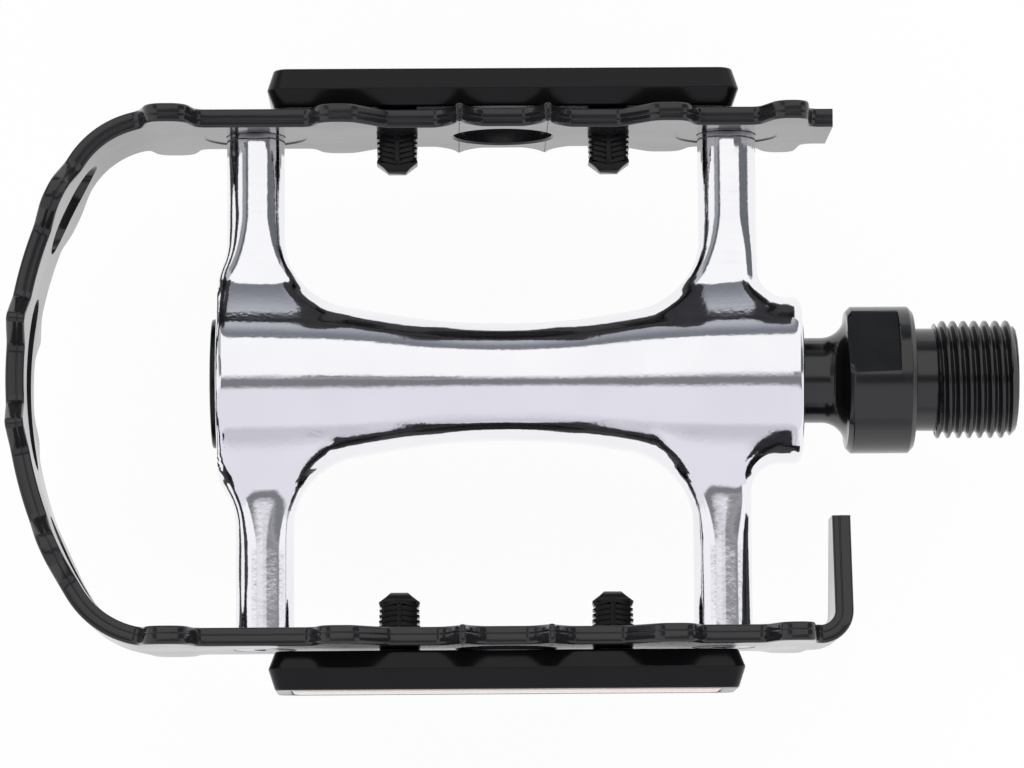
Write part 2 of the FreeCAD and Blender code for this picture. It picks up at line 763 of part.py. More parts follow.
def trim_edges(body, name, role, edge, sides="One side", backwards=False):
    """Cut both edges of the strip to a toothed line, mirrored about its middle."""
    clear = "(dim.end_tooth_half + dim.strip)"
    sketch = new_sketch(body, name + "_line", role)
    for side in (1, -1):
        line = []
        for place, height, *arc in edge:
            flank = [arc[0], side * arc[1]] if arc else []
            line.append((place, f"{side} * {height}", *flank))
        line += [(edge[-1][0], f"{side} * {clear}"), (edge[0][0], f"{side} * {clear}")]
        outline(sketch, line)
    cut(body, sketch, name, sides=sides, backwards=backwards)


def bevel_screw_holes(body):
    """Countersink the screw holes from the strip's outer faces."""
    doc.recompute()
    rims = []
    for index, edge in enumerate(body.Tip.Shape.Edges, start=1):
        round_edge = isinstance(edge.Curve, Part.Circle)
        outside = abs(abs(edge.CenterOfMass.y) - size("cage_half")) < size("strip") / 10
        if not round_edge or not outside:
            continue
        if abs(edge.Curve.Radius - worth(sheet, SCREW_HOLE_R)) < size("screw_gap") / 10:
            rims.append(f"Edge{index}")
    bevel = body.newObject("PartDesign::Chamfer", "screw_countersinks")
    bevel.Base = (body.Group[-2], rims)
    bind(bevel, Size=SCREW_HEAD_HIGH)
    body.Tip = bevel


def make_cage():
    body = new_body("cage")
    path = new_sketch(body, "strip_path", "XY_Plane")
    outline(path, strip_path())
    raised(body, path, "strip", "2 * dim.end_tooth_half", sides="Symmetric")
    trim_edges(body, "plate_teeth", "XZ_Plane", plate_teeth(), sides="Symmetric")
    trim_edges(body, "bow_teeth", "YZ_Plane", bow_teeth())
    taper = [(f"-{PLATE_IN}", "dim.end_half"), ("-dim.tab_end", "dim.tab_tip_half")]
    trim_edges(body, "tab_taper", "YZ_Plane", taper, backwards=True)
    slots = new_sketch(body, "bow_slots_outline", "YZ_Plane")
    outline(slots, oblong("0", "dim.bow_slot_len", "dim.bow_slot_high"))
    for side in (1, -1):
        middle = f"{side} * dim.corner_slot_y"
        outline(slots, oblong(middle, "dim.corner_slot_len", "dim.corner_slot_high"))
    cut(body, slots, "bow_slots")
    for side, name in ((1, "rear"), (-1, "front")):
        seats = new_sketch(body, f"{name}_seats_outline", "XZ_Plane", f"{-side} * {PLATE_IN}")
        holes = new_sketch(body, f"{name}_holes_outline", "XZ_Plane")
        ring(holes, "0", "0", "dim.mid_hole_dia / 2")
        for x in ("dim.peg_x", "-dim.peg_x"):
            ring(holes, x, "0", PEG_HOLE_R)
        for _, arm_side, x in ARMS:
            if arm_side == side:
                ring(seats, x, "0", "dim.seat_dia / 2")
                ring(holes, x, "0", SCREW_HOLE_R)
        cut(body, seats, f"{name}_seats", "dim.seat_depth", backwards=side < 0)
        cut(body, holes, f"{name}_holes", backwards=side < 0)
    bevel_screw_holes(body)
    keep(body, "cage", "-dim.platform_mid")


def make_screws():
    """Countersunk socket screws, one in each arm."""
    screws = []
    for name, side, x in ARMS:
        inwards = Rotation(Vector(1, 0, 0), 90 * side)
        face = f"{side} * dim.cage_half"
        shank = cylinder(f"shank_{name}", "dim.screw_dia / 2", "dim.screw_len", inwards, x, face)
        head = doc.addObject("Part::Cone", f"head_{name}")
        bind(head, Radius1="dim.screw_head / 2", Radius2="dim.screw_dia / 2", Height=SCREW_HEAD_HIGH)
        socket = doc.addObject("Part::Prism", f"socket_{name}")
        socket.Polygon = 6
        bind(socket, Circumradius="dim.screw_hex / 2 / cos(30 deg)", Height="dim.screw_hex_deep")
        for solid in (head, socket):
            solid.Placement = Placement(Vector(), inwards)
            bind(solid, Placement__Base__x=x, Placement__Base__y=face)
        screw = doc.addObject("Part::Cut", f"screw_{name}")
        screw.Base = joined(f"screw_blank_{name}", [shank, head])
        screw.Tool = socket
        screws.append(screw)
    group = doc.addObject("Part::Compound", "screw_group")
    group.Links = screws
    keep(group, "cage_screws", "-dim.platform_mid")


def add_pegs(body):
    """Two ribbed pegs through the strip: a collar, a neck in the hole, ribs round a core, and a wedge tip.

    The body's Y runs from the strip's outer face outwards, so the pegs run to negative Y.
    """
    inside = "(dim.strip + dim.peg_hole_gap)"
    rib_pitch = "((dim.peg_body - dim.peg_rib) / (dim.peg_ribs - 1))"
    plain = [
        ("collars", "0", "dim.peg_wide / 2", "dim.reflector_gap", True),
        ("necks", "0", "dim.peg_neck / 2", inside, False),
    ]
    for name, start, radius, length, outwards in plain:
        sketch = new_sketch(body, f"peg_{name}_outline", "XZ_Plane", start)
        for side in (1, -1):
            ring(sketch, f"{side} * dim.peg_x", "0", radius)
        raised(body, sketch, f"peg_{name}", length, backwards=outwards)
    blocks = [
        ("cores", inside, "dim.peg_core / 2", "dim.peg_core / 2", "dim.peg_body"),
        ("spines", inside, "dim.peg_spine / 2", "dim.peg_high / 2", "dim.peg_body"),
    ]
    for rib in range(int(size("peg_ribs"))):
        start = f"({inside} + {rib} * {rib_pitch})"
        blocks.append((f"rib_{rib}", start, "dim.peg_wide / 2", "dim.peg_high / 2", "dim.peg_rib"))
    for name, start, half_x, half_z, length in blocks:
        sketch = new_sketch(body, f"peg_{name}_outline", "XZ_Plane", start)
        for side in (1, -1):
            outline(sketch, box_corners(f"{side} * dim.peg_x", "0", half_x, half_z))
        raised(body, sketch, f"peg_{name}", length)
    tips = new_sketch(body, "peg_tips_outline", "XY_Plane")
    root = f"(-{inside} - dim.peg_body)"
    for side in (1, -1):
        middle = f"{side} * dim.peg_x"
        outline(tips, [
            (f"{middle} - dim.peg_wide / 2", root),
            (f"{middle} - dim.peg_tip_wide / 2", f"{root} - dim.peg_tip"),
            (f"{middle} + dim.peg_tip_wide / 2", f"{root} - dim.peg_tip"),
            (f"{middle} + dim.peg_wide / 2", root),
        ])
    raised(body, tips, "peg_tips", "dim.peg_core", sides="Symmetric")


def make_reflector(name, side):
    """Moulded housing with drafted edges and pegs, and the lens set in its outer face."""
    parting = "(dim.reflector_gap + dim.reflector_back)"
    face = f"({parting} + dim.reflector_front)"
    half_x, half_z = "(dim.reflector_len / 2)", "(dim.reflector_high / 2)"
    lens_x = f"({half_x} - dim.lens_margin)"
    lens_z = f"({half_z} - dim.lens_margin)"
    turn = Placement(Vector(), Rotation(Vector(0, 0, 1), 90 - 90 * side))
    housing = new_body(f"{name}_reflector_housing")
    seam = new_sketch(housing, f"{name}_parting_outline", "XZ_Plane", f"-{parting}")
    outline(seam, rounded_box(half_x, half_z, "dim.reflector_corner"))
    draft = "-dim.reflector_draft"
    raised(housing, seam, f"{name}_back", "dim.reflector_back", draft=draft)
    raised(housing, seam, f"{name}_front", "dim.reflector_front", backwards=True, draft=draft)
    add_pegs(housing)
    well = new_sketch(housing, f"{name}_lens_well_outline", "XZ_Plane", f"-{face}")
    outline(well, rounded_box(lens_x, lens_z, "dim.lens_corner"))
    cut(housing, well, f"{name}_lens_well", "dim.lens_thick", backwards=True)
    lens = new_body(f"{name}_reflector_lens")
    pane = new_sketch(lens, f"{name}_lens_outline", "XZ_Plane", f"-{face}")
    outline(pane, rounded_box(f"({lens_x} - dim.lens_gap)", f"({lens_z} - dim.lens_gap)", "dim.lens_corner"))
    raised(lens, pane, f"{name}_lens", "dim.lens_thick")
    for body, label in ((housing, f"{name}_reflector_housing"), (lens, f"{name}_reflector_lens")):
        body.Placement = turn
        bind(body, Placement__Base__y=f"{side} * dim.cage_half")
        keep(body, label, "-dim.platform_mid")


def check_and_write():
    doc.recompute()
    for item in doc.Objects:
        if "Invalid" in item.State or "Error" in item.State:
            raise ValueError(f"{item.Name} failed to build: {item.State}")
    for node in nodes:
        if node.Shape.isNull() or not node.Shape.isValid() or not node.Shape.Solids:
            raise ValueError(f"{node.Label} has no sound solid")
    os.makedirs("parts", exist_ok=True)
    for node in nodes:
        node.Shape.exportStep(f"parts/{node.Label}.step")
        print(node.Label, len(node.Shape.Solids), round(node.Shape.Volume, 1))


fill_sheet()
make_spindle()
make_bearing("inboard", IN_SEAT, IN_BALL, IN_PITCH, "dim.in_bore_dia", True)
make_bearing("outboard", OUT_SEAT, OUT_BALL, OUT_PITCH, "dim.out_bore_dia", False)
make_adjuster()
make_dust_cap()
make_seal()
make_pedal_body()
make_cage()
make_screws()
make_reflector("rear", 1)
make_reflector("front", -1)
check_and_write()
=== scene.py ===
import math

import bmesh
import bpy
import numpy as np
from mathutils import Matrix, Vector


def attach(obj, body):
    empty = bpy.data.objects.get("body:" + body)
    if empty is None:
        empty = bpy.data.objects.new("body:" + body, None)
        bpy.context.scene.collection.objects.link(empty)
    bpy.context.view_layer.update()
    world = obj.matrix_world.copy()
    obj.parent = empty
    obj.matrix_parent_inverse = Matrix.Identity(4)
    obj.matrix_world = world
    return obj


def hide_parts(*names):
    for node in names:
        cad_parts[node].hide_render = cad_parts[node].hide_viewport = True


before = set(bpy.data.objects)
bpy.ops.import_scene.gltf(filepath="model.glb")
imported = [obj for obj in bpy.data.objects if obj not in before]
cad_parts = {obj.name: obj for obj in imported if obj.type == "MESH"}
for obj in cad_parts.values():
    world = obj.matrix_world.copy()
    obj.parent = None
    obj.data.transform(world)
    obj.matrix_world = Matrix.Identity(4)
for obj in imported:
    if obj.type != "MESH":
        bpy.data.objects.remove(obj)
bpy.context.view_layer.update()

# Lengths below are in millimetres, x from the middle of the crank thread, unless a comment says otherwise.
MM = 0.001
# The spindle's shoulder, the barrel's ends, the platform's middle, and the strip's outer face and thickness
SHOULDER_X = -7.45
BARREL_IN_X, BARREL_OUT_X = -20.85, -90.5
PLATFORM_X = -56.25
PLATE_OUT, STRIP = 31.92, 2.2
# Each arm's x, its side of the barrel (1 behind, -1 in front), and the way along x to the barrel's nearer end
ARMS = ((-85.95, 1, -1), (-29.35, 1, 1), (-84.95, -1, -1), (-30.35, -1, 1))
ARM_R, ARM_END = 3.5, 30.07
# The reflectors' pegs stand this far to each side of the platform's middle.
PEG_X = 12.7


# Small helpers

def linear(hex_colour):
    """Linear colour from an sRGB hex value."""
    channels = [int(hex_colour[i:i + 2], 16) / 255 for i in (1, 3, 5)]
    return (*[c / 12.92 if c <= 0.04045 else ((c + 0.055) / 1.055) ** 2.4 for c in channels], 1.0)


def add(tree, kind, inputs=None, **settings):
    """Adds a node, sets its own settings, and gives each input a value or a link."""
    node = tree.nodes.new(kind)
    for name, value in settings.items():
        setattr(node, name, value)
    for socket, value in (inputs or {}).items():
        if isinstance(value, bpy.types.NodeSocket):
            tree.links.new(value, node.inputs[socket])
        else:
            node.inputs[socket].default_value = value
    return node


def put(name, data):
    """Object in the scene that carries a mesh or a camera."""
    thing = bpy.data.objects.new(name, data)
    bpy.context.scene.collection.objects.link(thing)
    return thing


def add_piece(name, mesh, material, body, node=None):
    """Puts in a mesh as a piece that rides on a body, and may stand for a CAD node.

    A mesh that its node tree has given a material comes without one here.
    """
    mesh.name = name
    piece = put(name, mesh)
    if material:
        mesh.materials.clear()
        mesh.materials.append(material)
    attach(piece, body)
    if node:
        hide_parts(node)


def smoothed(mesh, crease):
    """Smooth shading, except where faces meet at more than the crease angle in degrees."""
    mesh.shade_smooth()
    mesh.set_sharp_from_angle(angle=math.radians(crease))
    return mesh


def bmesh_of(*meshes):
    """Working mesh that holds all of the given ones."""
    work = bmesh.new()
    for mesh in meshes:
        work.from_mesh(mesh)
    return work


def joined(meshes):
    """One mesh from several."""
    work = bmesh_of(*meshes)
    result = bpy.data.meshes.new("form")
    work.to_mesh(result)
    work.free()
    return result


def tidied(mesh, crease=40):
    """Merges doubles, drops faces of no size and turns every face outwards."""
    same_place, no_size = 2e-6, 1e-6
    work = bmesh_of(mesh)
    bmesh.ops.remove_doubles(work, verts=work.verts, dist=same_place)
    bmesh.ops.dissolve_degenerate(work, edges=work.edges, dist=no_size)
    bmesh.ops.recalc_face_normals(work, faces=work.faces)
    work.to_mesh(mesh)
    work.free()
    return smoothed(mesh, crease)


def skin(rings, loop=False, crease=40):
    """Closed mesh over rings of equally many points, with flat ends or looped from last to first."""
    points = np.concatenate([np.asarray(ring, float) for ring in rings])
    count, total = len(rings[0]), len(points)
    faces = []
    for low in range(0, total if loop else total - count, count):
        high = (low + count) % total
        for k in range(count):
            after = (k + 1) % count
            faces.append((low + k, low + after, high + after, high + k))
    if not loop:
        faces += [tuple(reversed(range(count))), tuple(range(total - count, total))]
    mesh = bpy.data.meshes.new("form")
    mesh.from_pydata((points * MM).tolist(), [], faces)
    mesh.validate()
    return tidied(mesh, crease)


def applied(carrier):
    """Plain mesh that an object's modifiers make of it. The object itself goes."""
    result = bpy.data.meshes.new_from_object(carrier.evaluated_get(bpy.context.evaluated_depsgraph_get()))
    bpy.data.objects.remove(carrier)
    return result


def baked(mesh, kind, **settings):
    """Plain mesh after one modifier of that kind."""
    carrier = put("carrier", mesh)
    modifier = carrier.modifiers.new(kind, kind)
    for name, value in settings.items():
        setattr(modifier, name, value)
    return applied(carrier)


def grown(tree, sizes, mesh=None):
    """Plain mesh from a Geometry Nodes tree whose inputs get the named sizes."""
    carrier = put("carrier", mesh or bpy.data.meshes.new("seed"))
    modifier = carrier.modifiers.new("grow", "NODES")
    modifier.node_group = tree
    for item in tree.interface.items_tree:
        if item.item_type == "SOCKET" and item.name in sizes:
            modifier[item.identifier] = sizes[item.name]
    return applied(carrier)


def new_tree(name, inputs):
    """Geometry Nodes tree with named inputs of those kinds, its group input node and its group output node."""
    tree = bpy.data.node_groups.new(name, "GeometryNodeTree")
    tree.interface.new_socket("Geometry", in_out="INPUT", socket_type="NodeSocketGeometry")
    for label, kind in inputs.items():
        tree.interface.new_socket(label, in_out="INPUT", socket_type="NodeSocket" + kind)
    tree.interface.new_socket("Geometry", in_out="OUTPUT", socket_type="NodeSocketGeometry")
    return tree, tree.nodes.new("NodeGroupInput"), tree.nodes.new("NodeGroupOutput")


def end_tree(tree, geometry, material, out):
    """Makes the geometry real, gives it its material and leads it out of the tree."""
    real = add(tree, "GeometryNodeRealizeInstances", {0: geometry})
    dressed = add(tree, "GeometryNodeSetMaterial", {0: real.outputs[0], "Material": material})
    tree.links.new(dressed.outputs[0], out.inputs[0])
    return tree


def eased(corners, radius, steps=4, closed=False, hollow=None):
    """Line with its corners rounded, left-hand ones to the hollow radius, and support points beside them."""
    # Share of the shorter leg that a round may take, half angle past which a corner counts as straight,
    # and how far outside a round its support points lie, as a share of its reach
    most, straight, support = 0.42, 1.3, 0.15
    corners = [np.asarray(corner, float) for corner in corners]
    count = len(corners)
    line = []
    for i, corner in enumerate(corners):
        if not closed and i in (0, count - 1):
            line.append(corner)
            continue
        before = corners[i - 1] - corner
        after = corners[(i + 1) % count] - corner
        room = most * min(np.linalg.norm(before), np.linalg.norm(after))
        before /= np.linalg.norm(before)
        after /= np.linalg.norm(after)
        half = math.acos(float(np.clip(before @ after, -1, 1))) / 2
        if half > straight:
            line.append(corner)
            continue
        turns_left = before[1] * after[0] - before[0] * after[1] > 0
        reach = min((hollow if hollow and turns_left else radius) / math.tan(half), room)
        own = reach * math.tan(half)
        middle = before + after
        centre = corner + middle / np.linalg.norm(middle) * own / math.sin(half)
        start, end = corner + before * reach, corner + after * reach
        line.append(start + before * reach * support)
        for k in range(steps + 1):
            blend = (start - centre) * (1 - k / steps) + (end - centre) * k / steps
            line.append(centre + blend / np.linalg.norm(blend) * own)
        line.append(end + after * reach * support)
    return np.array(line)


def full_turn(sides):
    """Angles of equal steps once round."""
    return np.linspace(0, 2 * math.pi, sides, endpoint=False)


def turned(profile):
    """Rings about the spindle's axis from points of place along X and radius."""
    turn = full_turn(144)
    return [np.stack([np.full(len(turn), x), r * np.cos(turn), r * np.sin(turn)], 1) for x, r in profile]


def round_ring(x, y, radius, sides):
    """Circle in a plane of constant Y."""
    turn = full_turn(sides)
    return np.stack([x + radius * np.cos(turn), np.full(sides, y), radius * np.sin(turn)], 1)


def rounded_ring(half_x, half_z, corner, y, per_corner=8):
    """Rectangle with round corners in a plane of constant Y."""
    points = []
    for i, (sx, sz) in enumerate(((1, 1), (-1, 1), (-1, -1), (1, -1))):
        for k in range(per_corner + 1):
            turn = math.pi / 2 * (i + k / per_corner)
            points.append((
                sx * (half_x - corner) + corner * math.cos(turn),
                y,
                sz * (half_z - corner) + corner * math.sin(turn),
            ))
    return np.array(points)


# Materials

WAVE = math.pi / 10  # a wave texture of scale 1 repeats after this length, in metres


def new_finish(name):
    """Material with an empty tree, and its Object coordinates."""
    material = bpy.data.materials.new(name)
    material.use_nodes = True
    tree = material.node_tree
    tree.nodes.clear()
    return material, tree, add(tree, "ShaderNodeTexCoord").outputs["Object"]


def polished_aluminium():
    # Forged aluminium, ground and buffed on a mop by hand. The buffing leaves a mirror that waves
    # over a few millimetres, with a fine grain that frays the edges of what it reflects.
    material, tree, place = new_finish("polished_aluminium")
    wave = add(tree, "ShaderNodeTexNoise", {"Vector": place, "Scale": 1 / 0.007, "Detail": 1.0})
    grain = add(tree, "ShaderNodeTexNoise", {"Vector": place, "Scale": 1 / 0.0006, "Detail": 3.0})
    drawn = add(tree, "ShaderNodeMapping", {"Vector": place, "Scale": (60, 2200, 2200)})
    scratch = add(tree, "ShaderNodeTexNoise", {"Vector": drawn.outputs[0], "Scale": 1.0, "Detail": 2.0})
    rough = add(tree, "ShaderNodeMapRange", {
        "Value": scratch.outputs[0], "From Min": 0.35, "From Max": 0.75, "To Min": 0.05, "To Max": 0.12})
    tone = add(tree, "ShaderNodeMix", {
        "Factor": wave.outputs[0], "A": linear("#ECECF0"), "B": linear("#F5F5F8")}, data_type="RGBA")
    waved = add(tree, "ShaderNodeBump", {"Height": wave.outputs[0], "Distance": 0.00004})
    grained = add(tree, "ShaderNodeBump", {
        "Height": grain.outputs[0], "Distance": 0.000009, "Normal": waved.outputs[0]})
    shader = add(tree, "ShaderNodeBsdfPrincipled", {
        "Base Color": tone.outputs["Result"], "Metallic": 1.0, "Roughness": rough.outputs[0],
        "Normal": grained.outputs[0]})
    add(tree, "ShaderNodeOutputMaterial", {"Surface": shader.outputs[0]})
    return material


def gloss_black_paint():
    # Stove enamel on pressed steel strip: black and glossy, with the low orange peel that sprayed paint
    # dries to, which breaks up reflections seen at a low angle.
    material, tree, place = new_finish("gloss_black_paint")
    peel = add(tree, "ShaderNodeTexNoise", {"Vector": place, "Scale": 1 / 0.0018, "Detail": 1.0})
    dust = add(tree, "ShaderNodeTexNoise", {"Vector": place, "Scale": 1 / 0.012, "Detail": 3.0})
    rough = add(tree, "ShaderNodeMapRange", {
        "Value": dust.outputs[0], "From Min": 0.3, "From Max": 0.7, "To Min": 0.10, "To Max": 0.20})
    tone = add(tree, "ShaderNodeMix", {
        "Factor": dust.outputs[0], "A": linear("#1C1C1E"), "B": linear("#272729")}, data_type="RGBA")
    bump = add(tree, "ShaderNodeBump", {"Height": peel.outputs[0], "Distance": 0.00001})
    shader = add(tree, "ShaderNodeBsdfPrincipled", {
        "Base Color": tone.outputs["Result"], "Roughness": rough.outputs[0], "IOR": 1.52,
        "Normal": bump.outputs[0]})
    add(tree, "ShaderNodeOutputMaterial", {"Surface": shader.outputs[0]})
    return material


def black_coated_steel():
    # Turned steel with a glossy black coating. The tool's fine feed lines still show through round the shaft.
    material, tree, place = new_finish("black_coated_steel")
    feed = add(tree, "ShaderNodeTexWave", {
        "Vector": place, "Scale": WAVE / 0.00022, "Distortion": 1.5, "Detail": 1.0}, bands_direction="X")
    cloud = add(tree, "ShaderNodeTexNoise", {"Vector": place, "Scale": 1 / 0.004, "Detail": 3.0})
    rough = add(tree, "ShaderNodeMapRange", {
        "Value": cloud.outputs[0], "From Min": 0.3, "From Max": 0.7, "To Min": 0.11, "To Max": 0.2})
    tone = add(tree, "ShaderNodeMix", {
        "Factor": cloud.outputs[0], "A": linear("#0C0C0D"), "B": linear("#161618")}, data_type="RGBA")
    bump = add(tree, "ShaderNodeBump", {"Height": feed.outputs[1], "Distance": 0.000002})
    shader = add(tree, "ShaderNodeBsdfPrincipled", {
        "Base Color": tone.outputs["Result"], "Roughness": rough.outputs[0], "IOR": 1.6,
        "Normal": bump.outputs[0]})
    add(tree, "ShaderNodeOutputMaterial", {"Surface": shader.outputs[0]})
    return material


def moulded_black_abs():
    # ABS from a polished mould: deep black, satin, with a very fine grain and faint flow clouds.
    material, tree, place = new_finish("moulded_black_abs")
    grain = add(tree, "ShaderNodeTexNoise", {"Vector": place, "Scale": 1 / 0.00035, "Detail": 2.0})
    flow = add(tree, "ShaderNodeTexNoise", {"Vector": place, "Scale": 1 / 0.009, "Detail": 2.0})
    rough = add(tree, "ShaderNodeMapRange", {
        "Value": flow.outputs[0], "From Min": 0.3, "From Max": 0.7, "To Min": 0.16, "To Max": 0.26})
    tone = add(tree, "ShaderNodeMix", {
        "Factor": flow.outputs[0], "A": linear("#09090A"), "B": linear("#111113")}, data_type="RGBA")
    bump = add(tree, "ShaderNodeBump", {"Height": grain.outputs[0], "Distance": 0.000004})
    shader = add(tree, "ShaderNodeBsdfPrincipled", {
        "Base Color": tone.outputs["Result"], "Roughness": rough.outputs[0], "IOR": 1.53,
        "Specular IOR Level": 0.22, "Normal": bump.outputs[0]})
    add(tree, "ShaderNodeOutputMaterial", {"Surface": shader.outputs[0]})
    return material


def bright_zinc_plate():
    # Zinc plated from a bath and clear passivated: pale grey metal with a slightly cloudy, bluish cast.
    material, tree, place = new_finish("bright_zinc_plate")
    cloud = add(tree, "ShaderNodeTexNoise", {"Vector": place, "Scale": 1 / 0.0022, "Detail": 3.0})
    rough = add(tree, "ShaderNodeMapRange", {
        "Value": cloud.outputs[0], "From Min": 0.3, "From Max": 0.7, "To Min": 0.2, "To Max": 0.34})
    tone = add(tree, "ShaderNodeMix", {
        "Factor": cloud.outputs[0], "A": linear("#B4B9C0"), "B": linear("#CFCFCB")}, data_type="RGBA")
    bump = add(tree, "ShaderNodeBump", {"Height": cloud.outputs[0], "Distance": 0.00001})
    shader = add(tree, "ShaderNodeBsdfPrincipled", {
        "Base Color": tone.outputs["Result"], "Metallic": 1.0, "Roughness": rough.outputs[0],
        "Normal": bump.outputs[0]})
    add(tree, "ShaderNodeOutputMaterial", {"Surface": shader.outputs[0]})
    return material


def ground_bearing_steel():
    # Hardened chrome steel, ground round its axis: bright, with fine rings from the wheel.
    material, tree, place = new_finish("ground_bearing_steel")
    rings = add(tree, "ShaderNodeTexWave", {
        "Vector": place, "Scale": WAVE / 0.00012, "Distortion": 2.0, "Detail": 1.0}, bands_direction="X")
    stain = add(tree, "ShaderNodeTexNoise", {"Vector": place, "Scale": 1 / 0.003, "Detail": 2.0})
    rough = add(tree, "ShaderNodeMapRange", {
        "Value": rings.outputs[1], "From Min": 0.0, "From Max": 1.0, "To Min": 0.10, "To Max": 0.18})
    tone = add(tree, "ShaderNodeMix", {
        "Factor": stain.outputs[0], "A": linear("#BFC1C5"), "B": linear("#D4D4D6")}, data_type="RGBA")
    shader = add(tree, "ShaderNodeBsdfPrincipled", {
        "Base Color": tone.outputs["Result"], "Metallic": 1.0, "Roughness": rough.outputs[0]})
    add(tree, "ShaderNodeOutputMaterial", {"Surface": shader.outputs[0]})
    return material


def nitrile_rubber():
    # Moulded nitrile seal: matt charcoal with a soft bloom and a pebbled skin.
    material, tree, place = new_finish("nitrile_rubber")
    skin_grain = add(tree, "ShaderNodeTexNoise", {"Vector": place, "Scale": 1 / 0.0004, "Detail": 3.0})
    tone = add(tree, "ShaderNodeMix", {
        "Factor": skin_grain.outputs[0], "A": linear("#121212"), "B": linear("#1F1F20")}, data_type="RGBA")
    bump = add(tree, "ShaderNodeBump", {"Height": skin_grain.outputs[0], "Distance": 0.00002})
    shader = add(tree, "ShaderNodeBsdfPrincipled", {
        "Base Color": tone.outputs["Result"], "Roughness": 0.62, "IOR": 1.5, "Normal": bump.outputs[0]})
    add(tree, "ShaderNodeOutputMaterial", {"Surface": shader.outputs[0]})
    return material


def amber_acrylic():
    # Injection moulded clear acrylic dyed amber: glossy, deep in colour, a little uneven where it flowed.
    material, tree, place = new_finish("amber_acrylic")
    flow = add(tree, "ShaderNodeTexNoise", {"Vector": place, "Scale": 1 / 0.008, "Detail": 2.0})
    tone = add(tree, "ShaderNodeMix", {
        "Factor": flow.outputs[0], "A": linear("#FFB65C"), "B": linear("#FFC67C")}, data_type="RGBA")
    shader = add(tree, "ShaderNodeBsdfPrincipled", {
        "Base Color": tone.outputs["Result"], "Roughness": 0.04, "IOR": 1.49, "Transmission Weight": 0.9})
    add(tree, "ShaderNodeOutputMaterial", {"Surface": shader.outputs[0]})
    return material


def amber_prisms():
    # The cube-corner prisms moulded into the lens's back. They turn light back the way it came,
    # which gives the eye bright and dark amber facets.
    material, tree, place = new_finish("amber_prisms")
    flow = add(tree, "ShaderNodeTexNoise", {"Vector": place, "Scale": 1 / 0.003, "Detail": 1.0})
    tone = add(tree, "ShaderNodeMix", {
        "Factor": flow.outputs[0], "A": linear("#F07A12"), "B": linear("#FF9626")}, data_type="RGBA")
    shader = add(tree, "ShaderNodeBsdfPrincipled", {
        "Base Color": tone.outputs["Result"], "Metallic": 0.75, "Roughness": 0.16})
    add(tree, "ShaderNodeOutputMaterial", {"Surface": shader.outputs[0]})
    return material


ALUMINIUM = polished_aluminium()
PAINT = gloss_black_paint()
COATED_STEEL = black_coated_steel()
ABS = moulded_black_abs()
ZINC = bright_zinc_plate()
BEARING = ground_bearing_steel()
RUBBER = nitrile_rubber()
ACRYLIC = amber_acrylic()
PRISMS = amber_prisms()


# Body: the forging's skin as one distance field, a waisted barrel on a flat web that narrows into four arms

BARREL_R, WAIST_R = 10.0, 7.0
# Radii seen from above where an arm leaves the barrel: between the arms, at its outer end and at its inner end
PLAN_BETWEEN, PLAN_OUT_END, PLAN_IN_END = 7.5, 7.0, 3.5
# The barrel runs down to each web by a hollow flank: the lean at which it leaves the barrel, its radius, and
# the radius of the root where it meets the web, behind, in front and along the web's edge
FLANK_LEAN, FLANK_R = math.radians(42), 26.0
ROOT_REAR, ROOT_FRONT, ROOT_EDGE = 2.5, 10.0, 2.5
# How far inside the webs' outline a flank ends: behind, in front, and in front at the barrel's inner end, with
# the place where the change to that starts and its length. Then the radius of a flank's edge, behind and in
# front, and how far the flanks behind are held off the waist.
INSET_REAR, INSET_FRONT, INSET_END = 0.8, 1.2, 1.0
INNER_END_X, INNER_END_LONG = BARREL_IN_X - 11.15, 6.0
SOFT_REAR, SOFT_FRONT, WAIST_CLEAR = 1.5, 1.8, 0.3
# The webs' edge gets squarer towards the barrel: where that starts, its length, and how much squarer
SQUARE_Y, SQUARE_LONG, SQUARER = 20.0, 7.0, 1.2
# The bore, the bearing seats at the barrel's two ends, and the holes for the cage screws
BORE_R, IN_SEAT_R, IN_SEAT_DEEP, OUT_SEAT_R, OUT_SEAT_DEEP = 5.0, 8.5, 7.3, 7.75, 14.5
TAP_R, TAP_DEEP = 2.03, 14.0
# Rounds of the barrel's rims, the bore's edges and the arms' ends
RIM_ROUND, BORE_ROUND, ARM_ROUND = 0.8, 0.3, 0.25


def barrel_line():
    """Places along X with the barrel's radius and slope there, from a clamped cubic spline on eight poles."""
    far, mid, near, spare, spans = 33.0, 21.0, 9.5, 14.0, 5
    # The spline passes outside its middle poles, so they lie a little inside the waist.
    low = (24 * WAIST_R - BARREL_R) / 23
    poles = np.array([
        (BARREL_OUT_X - spare, BARREL_R), (PLATFORM_X - far, BARREL_R), (PLATFORM_X - mid, BARREL_R),
        (PLATFORM_X - near, low), (PLATFORM_X + near, low),
        (PLATFORM_X + mid, BARREL_R), (PLATFORM_X + far, BARREL_R), (BARREL_IN_X + spare, BARREL_R)])
    knots = np.concatenate([[0] * 3, np.arange(spans + 1), [spans] * 3]).astype(float)
    at = np.linspace(0, spans - 1e-9, 1200)
    basis = [((knots[i] <= at) & (at < knots[i + 1])).astype(float) for i in range(len(knots) - 1)]
    for degree in (1, 2, 3):
        raised = []
        for i in range(len(knots) - 1 - degree):
            rise, fall = knots[i + degree] - knots[i], knots[i + degree + 1] - knots[i + 1]
            left = (at - knots[i]) / rise * basis[i] if rise else 0
            right = (knots[i + degree + 1] - at) / fall * basis[i + 1] if fall else 0
            raised.append(left + right)
        basis = raised
    curve = np.stack(basis, 1) @ poles
    return curve[:, 0], curve[:, 1], np.gradient(curve[:, 1], curve[:, 0])


LINE_X, LINE_R, LINE_SLOPE = barrel_line()


